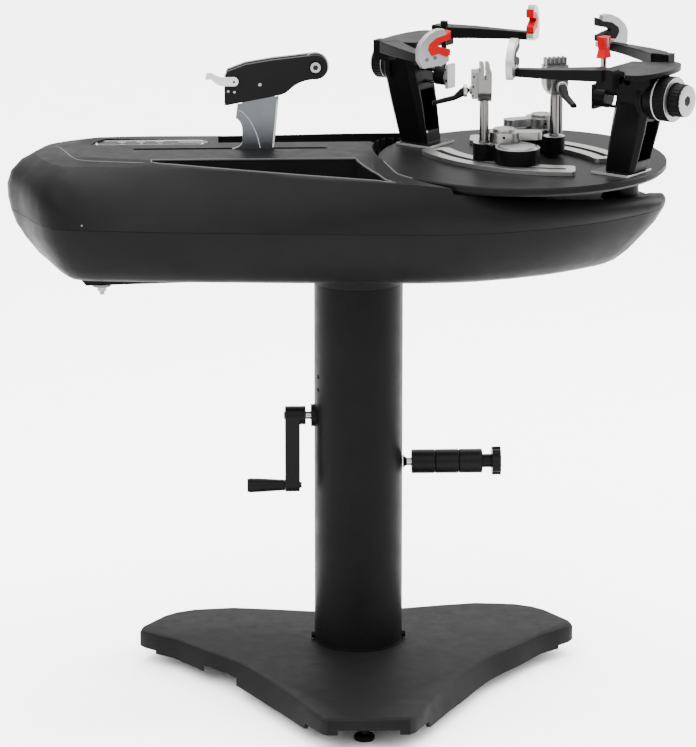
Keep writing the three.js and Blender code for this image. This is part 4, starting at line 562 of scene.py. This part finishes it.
def seen(node, across, down):
    """Where a pixel of the photo falls on a node, and the surface's outward direction there."""
    right, up = view @ Vector((1, 0, 0)), view @ Vector((0, 1, 0))
    offset = right * (across - PHOTO_SIZE[0] / 2) - up * (down - PHOTO_SIZE[1] / 2)
    eye = aim + backwards * DISTANCE
    return surface(node, eye, aim + offset * MILLIMETRES_PER_PIXEL - eye)


def stud(name, node, pixel, shape, finish, body):
    """A small head or mark standing on a node where the photo shows it."""
    piece(name, shape, finish, body, facing(*seen(node, *pixel)))


def on_front(x, face, z):
    """A point of a face that looks to the front, from its place beside the column's axis."""
    spot = column @ Vector((x, 0, z))
    return Vector((spot.x, face, spot.z))


def on_knob_axis(tower, reach):
    """A place on a tower's knob axis, facing outwards."""
    return towers[tower] @ at(reach, 0, knob_height) @ Matrix.Rotation(math.pi / 2, 4, "Y")


def tower_reach(node, tower):
    """The least and greatest outward reach of a node from the disc's middle."""
    back = towers[tower].inverted()
    reaches = [(back @ point).x for point in points_of(node)]
    return min(reaches), max(reaches)


# Stand

# Lines from these points, given from the column's axis, meet the column's left side
COLUMN_SCREW_STARTS = ((-200, -26, 470), (-200, -26, 450))
COLUMN_SCREW_HEADING = (1, 0.02, 0)
# A line to the crank's hub starts this far to its left
HUB_CLEARANCE = 40


def dress_stand():
    """Two screws in the column's side and one in the crank's hub."""
    for index, start in enumerate(COLUMN_SCREW_STARTS):
        piece(f"column_screw_{index + 1}", socket_head(radius=3.2, height=0.9, dome=0.2), BLACK, "stand",
              standing("outer_column", column @ Vector(start), COLUMN_SCREW_HEADING))
    hub = (low("crank_arm").x - HUB_CLEARANCE, middle("crank_arm").y, middle("crank_shaft").z)
    piece("crank_hub_screw", socket_head(radius=6, height=1.6, dome=0.2), DARK_STEEL, "crank",
          standing("crank_arm", hub, (1, 0, 0)))


# Hull

# A line to the rear and one upwards start here, from the column's axis, and meet the hull and its plate
HULL_SCREW_START = (-407, -400, 734)
HULL_BOLT_START = (-381, -77, 560)
WASHER_RADIUS = 14
WASHER_HEIGHT = 3.8
BOLT_RADIUS = 7.4
BOLT_SINK = 0.2
BOLT_HEIGHT = 10.4
BOLT_STEM_RADIUS = 4
BOLT_TIP_RADIUS = 3.8
BOLT_LENGTH = 16
# The washer and the bolt's head have broken edges, this far down and inwards
BROKEN_DOWN = 0.8
BROKEN_IN = 1
# Where the photo shows the ridge between the deck's left end and the hull's side
RIDGE_PIXELS = (
    (56, 146.6), (60, 147.8), (66, 152), (72, 157), (81, 160.3), (110, 161.8), (140, 162.8), (158, 163.3),
    (178, 164.1))


def dress_hull():
    """The screw in the hull's side, the bolt below it and the raised line of the ridge, painted lighter as a
    highlight.
    """
    piece("hull_side_screw", round_head(radius=1.6, height=0.5), BRUSHED, "head",
          standing("upper_shell", column @ Vector(HULL_SCREW_START), (0, 1, 0)))
    place = standing("under_plate", column @ Vector(HULL_BOLT_START), (0, 0, 1))
    washer = turned([
        [WASHER_RADIUS, -RING_SINK], [WASHER_RADIUS, WASHER_HEIGHT - BROKEN_DOWN],
        [WASHER_RADIUS - BROKEN_IN, WASHER_HEIGHT], [BOLT_STEM_RADIUS, WASHER_HEIGHT]])
    piece("under_plate_washer", washer, BRUSHED, "head", place)
    bolt = skin([
        ring_points(BOLT_RADIUS, WASHER_HEIGHT - BOLT_SINK, share=hexagon),
        ring_points(BOLT_RADIUS, BOLT_HEIGHT - BROKEN_DOWN, share=hexagon),
        ring_points(BOLT_RADIUS - BROKEN_IN, BOLT_HEIGHT),
        ring_points(BOLT_STEM_RADIUS, BOLT_HEIGHT),
        ring_points(BOLT_TIP_RADIUS, BOLT_LENGTH),
    ])
    piece("under_plate_bolt", bolt, CLAMP_CAST, "head", place)
    ridge = [seen("upper_shell", *pixel)[0] for pixel in RIDGE_PIXELS]
    # A bead along the ridge, painted lighter than the hull as its highlight
    piece("hull_ridge", bead(smooth_line(ridge), radius=1.6, lift=-0.9), LIP_HIGHLIGHT, "head")


# Trays

# Where the front trays lie, from the column's axis at the floor
TRAYS_LEFT = -330
TRAYS_RIGHT = 70
TRAYS_BACK = -70
TRAYS_BOTTOM = 790
# A rim is folded by more than this, the face beside it looks up, and it has at least these points
RIM_FOLD = math.radians(50)
RIM_UPWARD = 0.9
RIM_POINTS = 4


def rim_lines(node, keep):
    """Chains of a node's sharp edges beside an upward face, whose middles pass the test."""
    mesh = bmesh.new()
    mesh.from_mesh(frame["nodes"][node].data)
    bmesh.ops.remove_doubles(mesh, verts=mesh.verts, dist=WELD * MM)
    links = {}
    for edge in mesh.edges:
        a, b = (vertex.co / MM for vertex in edge.verts)
        sharp = len(edge.link_faces) == 2 and edge.calc_face_angle(0) > RIM_FOLD
        if sharp and max(face.normal.z for face in edge.link_faces) > RIM_UPWARD and keep((a + b) / 2):
            ends = tuple(vertex.index for vertex in edge.verts)
            for here, there in (ends, ends[::-1]):
                links.setdefault(here, []).append(there)
    spots = {vertex.index: vertex.co / MM for vertex in mesh.verts if vertex.index in links}
    mesh.free()
    lines = []
    while links:
        chain = [next((spot for spot in links if len(links[spot]) == 1), next(iter(links)))]
        while links[chain[-1]]:
            there = links[chain[-1]].pop()
            links[there].remove(chain[-1])
            chain.append(there)
        lines.append([spots[spot] for spot in chain])
        links = {spot: others for spot, others in links.items() if others}
    return lines


def dress_trays():
    """A lip along each rim of the front trays, painted lighter as a highlight."""
    back = column.inverted()

    def on_front_trays(point):
        here = back @ point
        return TRAYS_LEFT < here.x < TRAYS_RIGHT and here.y < TRAYS_BACK and here.z > TRAYS_BOTTOM

    for index, line in enumerate(rim_lines("upper_shell", on_front_trays)):
        if len(line) >= RIM_POINTS:
            piece(f"tray_lip_{index + 1}", bead(line, radius=1.8, lift=-0.4), LIP_HIGHLIGHT, "head")


# Console

PRINT_BOTTOM = -0.1
PRINT_TOP = 0.12
# The display's width and its middle beyond the last key, in steps from key to key
DISPLAY_WIDTH = 1.6
DISPLAY_BEYOND_KEYS = 1.75
DISPLAY_DEPTH = 12
# The printed outline, in from the panel's ends and sides
OUTLINE_FROM_ENDS = 7
OUTLINE_FROM_SIDES = 2.5
OUTLINE_WIDTH = 2.5
MARK_BEFORE_KEY = 10.5


def dress_display(keys, top):
    """The small display beyond the last key."""
    step = keys[1].x - keys[0].x
    outline = rounded_box(step * DISPLAY_WIDTH, DISPLAY_DEPTH, radius=2.5)
    piece("console_display", plate(outline, PRINT_BOTTOM, top=0.35, edge=0.2), DISPLAY, "head",
          at(keys[2].x + step * DISPLAY_BEYOND_KEYS, keys[0].y, top))


def dress_console():
    """The panel's display, the line around it and a mark in front of each key."""
    start, end = low("console_panel"), high("console_panel")
    keys = [middle(f"console_key_{number}") for number in (1, 2, 3)]
    dress_display(keys, end.z)
    width = end.x - start.x - 2 * OUTLINE_FROM_ENDS
    depth = end.y - start.y - 2 * OUTLINE_FROM_SIDES
    outer = rounded_box(width, depth, radius=6)
    inner = rounded_box(width - 2 * OUTLINE_WIDTH, depth - 2 * OUTLINE_WIDTH, radius=4)
    rings = [[(x, y, level) for x, y in line] for line, level in (
        (outer, PRINT_BOTTOM), (outer, PRINT_TOP), (inner, PRINT_TOP), (inner, PRINT_BOTTOM))]
    piece("console_outline", skin(rings, capped=False), MARK, "head",
          at((start.x + end.x) / 2, (start.y + end.y) / 2, end.z))
    for index, key in enumerate(keys):
        mark = plate(rounded_box(width=7, depth=1.6, radius=0.7), PRINT_BOTTOM, PRINT_TOP)
        piece(f"console_mark_{index + 1}", mark, MARK, "head", at(key.x, keys[0].y - MARK_BEFORE_KEY, end.z))


# Tensioner

# Across and up from the column's axis at the floor, on faces that look to the front
BLADE_CURVE = ((-179, 873.4), (-169.5, 868.8), (-158.6, 853.8), (-150, 834.5), (-145.7, 816.5))
# Where a white strip along the blade's edge stands as a painted highlight
BLADE_HIGHLIGHT = ((-120, 889), (-126.6, 817.5))
LEVER_SCREW = (-184, 918.5)
# Each pin has a radius too, and stands on a face this far in front of the column's axis
GRIPPER_PINS = ((-192.2, 903.5, 2.2), (-183.2, 902.1, 2.2), (-145.7, 912.9, 2.6))
GRIPPER_FACE = 14
NOSE_SOCKET_RADIUS = 3.9
NOSE_SEAT_DEPTH = 1.9


def dress_blade():
    """The engraved curve of the blade, and a white strip along its edge as a painted highlight."""
    face = low("carriage_blade").y
    curve = smooth_line([on_front(x, face, z) for x, z in BLADE_CURVE])
    piece("blade_engraved_line", ribbon(curve, width=1.1, lift=0.12, normal=FRONT), MARK, "carriage")
    edge = [on_front(x, face, z) for x, z in BLADE_HIGHLIGHT]
    piece("blade_edge_highlight", ribbon(edge, width=2.4, lift=0.25, normal=FRONT), WHITE, "carriage")


def dress_gripper():
    """The pins of the gripper, the bolt of its nose roller with painted shade in its socket and around it,
    and the screw of its lever.
    """
    face = (column @ Vector((0, -GRIPPER_FACE, 0))).y
    for index, (x, z, radius) in enumerate(GRIPPER_PINS):
        piece(f"gripper_pin_{index + 1}", round_head(radius, height=0.9), CAST, "carriage",
              facing(on_front(x, face, z), FRONT))
    nose = middle("nose_roller")
    place = facing((nose.x, low("gripper_body").y, nose.z), FRONT)
    bolt = socket_head(radius=7.8, height=1.5, socket=0.52, depth=0.7, sink=2.2)
    piece("nose_bolt", bolt, CAST, "carriage", place)
    # A dark plate in the bolt's socket and a dark ring in the recess around the bolt: painted shade
    socket = [point[:2] for point in ring_points(NOSE_SOCKET_RADIUS, 0, count=24, share=hexagon)]
    piece("nose_bolt_socket_shade", plate(socket, bottom=0.5, top=1, edge=0.1), DARK_STEEL, "carriage", place)
    piece("nose_bolt_seat_shade", face_ring(outer=9.4, inner=7.9, height=0.3), RECESS_SHADE, "carriage",
          place @ at(0, 0, -NOSE_SEAT_DEPTH))
    lever = on_front(LEVER_SCREW[0], low("release_lever").y, LEVER_SCREW[1])
    piece("lever_screw", round_head(radius=1.8, height=0.6), DARK_STEEL, "release_lever",
          facing(lever, FRONT))


# Knobs

# How far the silver rims lie behind a knob's face, stand out of its side and reach into it
RIGHT_RIM_BEHIND = 21
LEFT_RIMS_BEHIND = (3.2, 20.2)
RIGHT_RIM_OUT = 0.5
LEFT_RIM_OUT = 0.4
RIM_IN = 2
# The silver face of the right knob leaves a dark edge around it
FACE_EDGE = 1.2


def knob_radius(node):
    return (high(node).z - low(node).z) / 2


def dress_knobs():
    """Silver faces and rims on the black knobs."""
    right, left = "side_arm_knob_right", "side_arm_knob_left"
    face = tower_reach(right, "right")[1]
    radius = knob_radius(right)
    piece("side_arm_knob_face_right", face_ring(radius - FACE_EDGE, inner=24.8, height=0.6), CAST,
          "arm_knob_right", on_knob_axis("right", face))
    rim = face_ring(radius + RIGHT_RIM_OUT, radius - RIM_IN, height=1.6)
    piece("side_arm_knob_rim_right", rim, CAST, "arm_knob_right",
          on_knob_axis("right", face - RIGHT_RIM_BEHIND))
    cap = socket_head(radius=22.8, height=0.15, dome=0.05, socket=0.34, depth=3, count=FINE_ROUND)
    piece("support_knob_cap", cap, CAST, "support_knob",
          on_knob_axis("right", tower_reach("support_knob", "right")[1]))
    face = tower_reach(left, "left")[1]
    radius = knob_radius(left)
    for index, behind in enumerate(LEFT_RIMS_BEHIND):
        rim = face_ring(radius + LEFT_RIM_OUT, radius - RIM_IN, height=1.4)
        piece(f"side_arm_knob_rim_left_{index + 1}", rim, CAST, "arm_knob_left",
              on_knob_axis("left", face - behind))


# Towers and side arms

TOWER_PLATE_HEIGHT = 3.4
# Outwards and sideways from the disc's middle, where a side arm leaves its tower
ARM_ROOT_REACH = 196
ARM_ROOT_SIDE = 76
# The silver plate of an arm begins this far before its pad's middle
PAD_PLATE_START = 8.6


def dress_towers():
    """The thin plate that each tower stands on."""
    for tower in towers:
        paint(f"tower_{tower}", THIN_PLATE, lambda place: place.z < disc_top + TOWER_PLATE_HEIGHT)


def dress_arms():
    """The silver plate at the end of each side arm."""
    for tower, local in towers.items():
        back = local.inverted()
        for end in ("near", "far"):
            pad = (back @ middle(f"arm_pad_{tower}_{end}")).xy
            root = Vector((ARM_ROOT_REACH, math.copysign(ARM_ROOT_SIDE, pad.y)))
            along = (pad - root).normalized()
            paint(f"side_arm_{tower}_{end}", CAST,
                  lambda place: ((back @ place).xy - pad).dot(along) > -PAD_PLATE_START)


# Clamps

CLAMP_TOP_DEPTH = 2.4
# Outwards and sideways from the disc's middle, in the right tower's frame or, for the rear, the left's
CLAMP_TOWERS = {"front": "right", "rear": "left"}
CLAMP_LOCKS = {"front": (-2, -46), "rear": (17, -78)}
CLAMP_CAPS = {"front": (33, -61), "rear": (33, -64)}
LOCK_HOLE_PIXELS = {"front": (504, 138), "rear": (545.5, 124)}
HEAD_RIVET_PIXELS = ((474, 77), (473.4, 87), (472.8, 96))
# From a lever's inner end, the stretch that gives its middle, and where the ferrule begins
LEVER_ROOT = 7
FERRULE_START = 3
# The lowest stretch of a head's node is its post, and gives the middle of the sleeve around it
POST_FOOT = 4
# The sleeve starts above the base's collar. It ends at the head's underside, given from the floor,
# where it narrows over its last stretch and reaches a little into the head.
POST_COLLAR = 3.3
POST_RADIUS = 6.9
POST_TOP_RADIUS = 6.2
POST_TAPER = 8
POST_REACH = 0.3
HEAD_UNDERSIDE = 893


def dress_clamp_bases():
    """The silver top of each clamp's base."""
    for end in ("front", "rear"):
        node = f"clamp_base_{end}"
        top = high(node).z - CLAMP_TOP_DEPTH
        paint(node, CAST, lambda place: place.z > top)


def dress_clamp_tops():
    """Bright rings on the locks and the bases, and a dark dot in each lock as the painted shade of its hole.
    """
    for end, tower in CLAMP_TOWERS.items():
        lock = f"clamp_lock_{end}"
        lock_top = high(lock).z - disc_top
        base_top = high(f"clamp_base_{end}").z - disc_top
        piece(f"clamp_lock_ring_{end}", face_ring(outer=15, inner=12.4, height=0.5), CHROME, lock,
              towers[tower] @ at(*CLAMP_LOCKS[end], lock_top))
        piece(f"clamp_cap_ring_{end}", face_ring(outer=28.6, inner=26.2, height=0.5), CHROME,
              f"clamp_{end}", towers[tower] @ at(*CLAMP_CAPS[end], base_top))
        # A dark dot as the painted shade of the lock's hole
        stud(f"clamp_lock_hole_shade_{end}", lock, LOCK_HOLE_PIXELS[end], dot(2.1, 0.15), RECESS_SHADE, lock)


def dress_ferrule(end):
    """The silver ferrule where a clamp's lever leaves its head."""
    lever = f"clamp_lever_{end}"
    head = middle(f"clamp_head_{end}")
    along = middle(lever) - head
    along = Vector((along.x, along.y, 0)).normalized()
    points = points_of(lever)
    start = min((point - head).dot(along) for point in points)
    root = box_middle([point for point in points if (point - head).dot(along) < start + LEVER_ROOT])
    root += along * (start + FERRULE_START - (root - head).dot(along))
    shape = plate(rounded_box(width=14.6, depth=18, radius=6), bottom=0, top=5.5, edge=0.8)
    piece(f"clamp_ferrule_{end}", shape, CAST, lever, facing(root, along))


def dress_post(end):
    """The sleeve of a clamp's post, from the clamp's base to its head."""
    node = f"clamp_head_{end}"
    foot_top = low(node).z + POST_FOOT
    axis = box_middle([point for point in points_of(node) if point.z < foot_top])
    collar = high(f"clamp_base_{end}").z + POST_COLLAR
    sleeve = turned([
        [POST_RADIUS, collar], [POST_RADIUS, HEAD_UNDERSIDE - POST_TAPER],
        [POST_TOP_RADIUS, HEAD_UNDERSIDE + POST_REACH]], FINE_ROUND)
    piece(f"clamp_post_sleeve_{end}", sleeve, POST, f"clamp_post_{end}", at(axis.x, axis.y, 0))


def dress_clamp_heads():
    """Dark dots of recess shade for the rivets of the front head, and the ferrule and post of each clamp."""
    for index, pixel in enumerate(HEAD_RIVET_PIXELS):
        stud(f"clamp_head_rivet_{index + 1}", "clamp_head_front", pixel, dot(1.5), RECESS_SHADE,
             "clamp_post_front")
    for end in ("front", "rear"):
        dress_ferrule(end)
        dress_post(end)


# Centre supports

# Outwards along the left support from its inner end: its plate ends, and its rods begin
SUPPORT_PLATE_END = 4.2
SUPPORT_RODS_START = 24.2
PLATE_HOLE_PIXEL = (446, 81)
PLATE_GROOVE_PIXEL = (446, 70)
# Down from the right support's top: the red fork, and the bright stem below it
FORK_HEIGHT = 31.2
FORK_STEM = 24
# Outwards from the right support's inner end to the middle of its fork
FORK_MIDDLE = 14


def dress_supports():
    """The left support's plate and rods, with dark dots of painted shade in the plate's hole and groove, and
    the right one's red fork with its grey lining.
    """
    left, right = "centre_support_left", "centre_support_right"
    back = towers["left"].inverted()
    start = tower_reach(left, "left")[0]
    paint(left, CAST, lambda place: (back @ place).x < start + SUPPORT_PLATE_END)
    paint(left, CHROME, lambda place: (back @ place).x > start + SUPPORT_RODS_START)
    # Dark dots as painted shade in the plate's hole and its small groove
    stud("support_plate_hole_shade", left, PLATE_HOLE_PIXEL, dot(2.2), RECESS_SHADE, "support_left")
    stud("support_plate_groove_shade", left, PLATE_GROOVE_PIXEL, dot(1.4), RECESS_SHADE, "support_left")
    top = high(right).z
    fork_bottom = top - FORK_HEIGHT
    paint(right, RED, lambda place: place.z > fork_bottom)
    paint(right, CHROME, lambda place: fork_bottom - FORK_STEM < place.z < fork_bottom)
    outline = rounded_box(width=13.7, depth=5.4, radius=0.8, steps=3)
    piece("support_fork_lining", plate(outline, bottom=-15.6, top=-0.3, edge=0.3), BRUSHED, "support_right",
          towers["right"] @ at(tower_reach(right, "right")[0] + FORK_MIDDLE, 0, top - disc_top))


# Bosses and brackets

BOSS_RINGS = 3
BOSS_RING_STEP = 3
BOSS_RING_INSET = 2
TOWER_SCREW_PIXEL = (427, 132)
BRACKET_SCREW_PIXELS = ((427, 60), (435, 58))


def dress_bosses():
    """Rings around the towers' round bosses, and the screws of the left tower and its bracket."""
    for tower in towers:
        face = tower_reach(f"side_arm_knob_{tower}", tower)[0] - BOSS_RING_INSET
        for index in range(BOSS_RINGS):
            piece(f"tower_boss_ring_{tower}_{index + 1}", face_ring(outer=36.2, inner=33, height=1.2), BLACK,
                  "turntable", on_knob_axis(tower, face - index * BOSS_RING_STEP))
    screw = socket_head(radius=2, height=0.6, dome=0.1, socket=0.4, sink=0.3)
    stud("tower_screw_left", "tower_left", TOWER_SCREW_PIXEL, screw, CAST, "turntable")
    for index, pixel in enumerate(BRACKET_SCREW_PIXELS):
        screw = socket_head(radius=3, height=0.7, dome=0.1, socket=0.45, sink=0.3)
        stud(f"bracket_screw_{index + 1}", "side_arm_left_near", pixel, screw, BRUSHED, "arm_left_near")


# Studio

LIGHT_POWER = 120
FLOOR_SIZE = 14
# The sky's strength: its least, what its top adds, and the power of the height that it grows with
SKY_LEAST = 1.1
SKY_GAIN = 8
SKY_POWER = 1.4


def build_camera():
    camera = bpy.data.cameras.new("camera")
    camera.sensor_fit = "VERTICAL"
    camera.sensor_height = 36
    camera.lens = DISTANCE / MILLIMETRES_PER_PIXEL / PHOTO_SIZE[1] * camera.sensor_height
    camera.clip_end = 60
    holder = bpy.data.objects.new("camera", camera)
    holder.location = (aim + backwards * DISTANCE) * MM
    holder.rotation_euler = view.to_euler()
    bpy.context.scene.collection.objects.link(holder)
    bpy.context.scene.camera = holder


def area_light(name, place, target, size):
    light = bpy.data.lights.new(name, "AREA")
    light.shape = "RECTANGLE"
    light.size, light.size_y = size
    light.energy = LIGHT_POWER
    holder = bpy.data.objects.new(name, light)
    holder.location = place
    holder.rotation_euler = (Vector(target) - Vector(place)).to_track_quat("-Z", "Y").to_euler()
    bpy.context.scene.collection.objects.link(holder)


def build_sky():
    """A bright ceiling over darker walls."""
    world = bpy.data.worlds.new("studio")
    world.use_nodes = True
    tree = world.node_tree
    toward = linked(tree, "ShaderNodeTexCoord").outputs["Generated"]
    height = linked(tree, "ShaderNodeSeparateXYZ", {"Vector": toward}).outputs["Z"]
    raised = linked(tree, "ShaderNodeMath", {0: height, 1: SKY_POWER}, operation="POWER", use_clamp=True)
    strength = linked(tree, "ShaderNodeMath", {
        0: raised.outputs["Value"], 1: SKY_GAIN, 2: SKY_LEAST}, operation="MULTIPLY_ADD")
    background = tree.nodes["Background"]
    background.inputs["Color"].default_value = (1, 1, 1, 1)
    tree.links.new(strength.outputs["Value"], background.inputs["Strength"])
    bpy.context.scene.world = world


def build_floor():
    ground = bmesh.new()
    bmesh.ops.create_grid(ground, x_segments=2, y_segments=2, size=FLOOR_SIZE)
    mesh = bpy.data.meshes.new("floor")
    ground.to_mesh(mesh)
    ground.free()
    mesh.materials.append(moulded(
        "pale_floor", (0.95, 0.95, 0.95), 0.7, grain=40, relief=0.02, mottle=0.01))
    floor = bpy.data.objects.new("floor", mesh)
    bpy.context.scene.collection.objects.link(floor)


def build_studio():
    build_sky()
    build_floor()
    area_light("key", place=(-2.2, -2.6, 3.0), target=(0, 0, 0.6), size=(2.4, 1.8))
    area_light("top", place=(0.2, 0.4, 3.2), target=(0, 0, 0.8), size=(2.6, 1.6))
    area_light("rim", place=(2.6, 1.4, 1.8), target=(0.1, 0, 0.7), size=(1.0, 2.0))


dress_nodes()
dress_stand()
dress_hull()
dress_trays()
dress_console()
dress_blade()
dress_gripper()
dress_knobs()
dress_towers()
dress_arms()
dress_clamp_bases()
dress_clamp_tops()
dress_clamp_heads()
dress_supports()
dress_bosses()
build_camera()
build_studio()
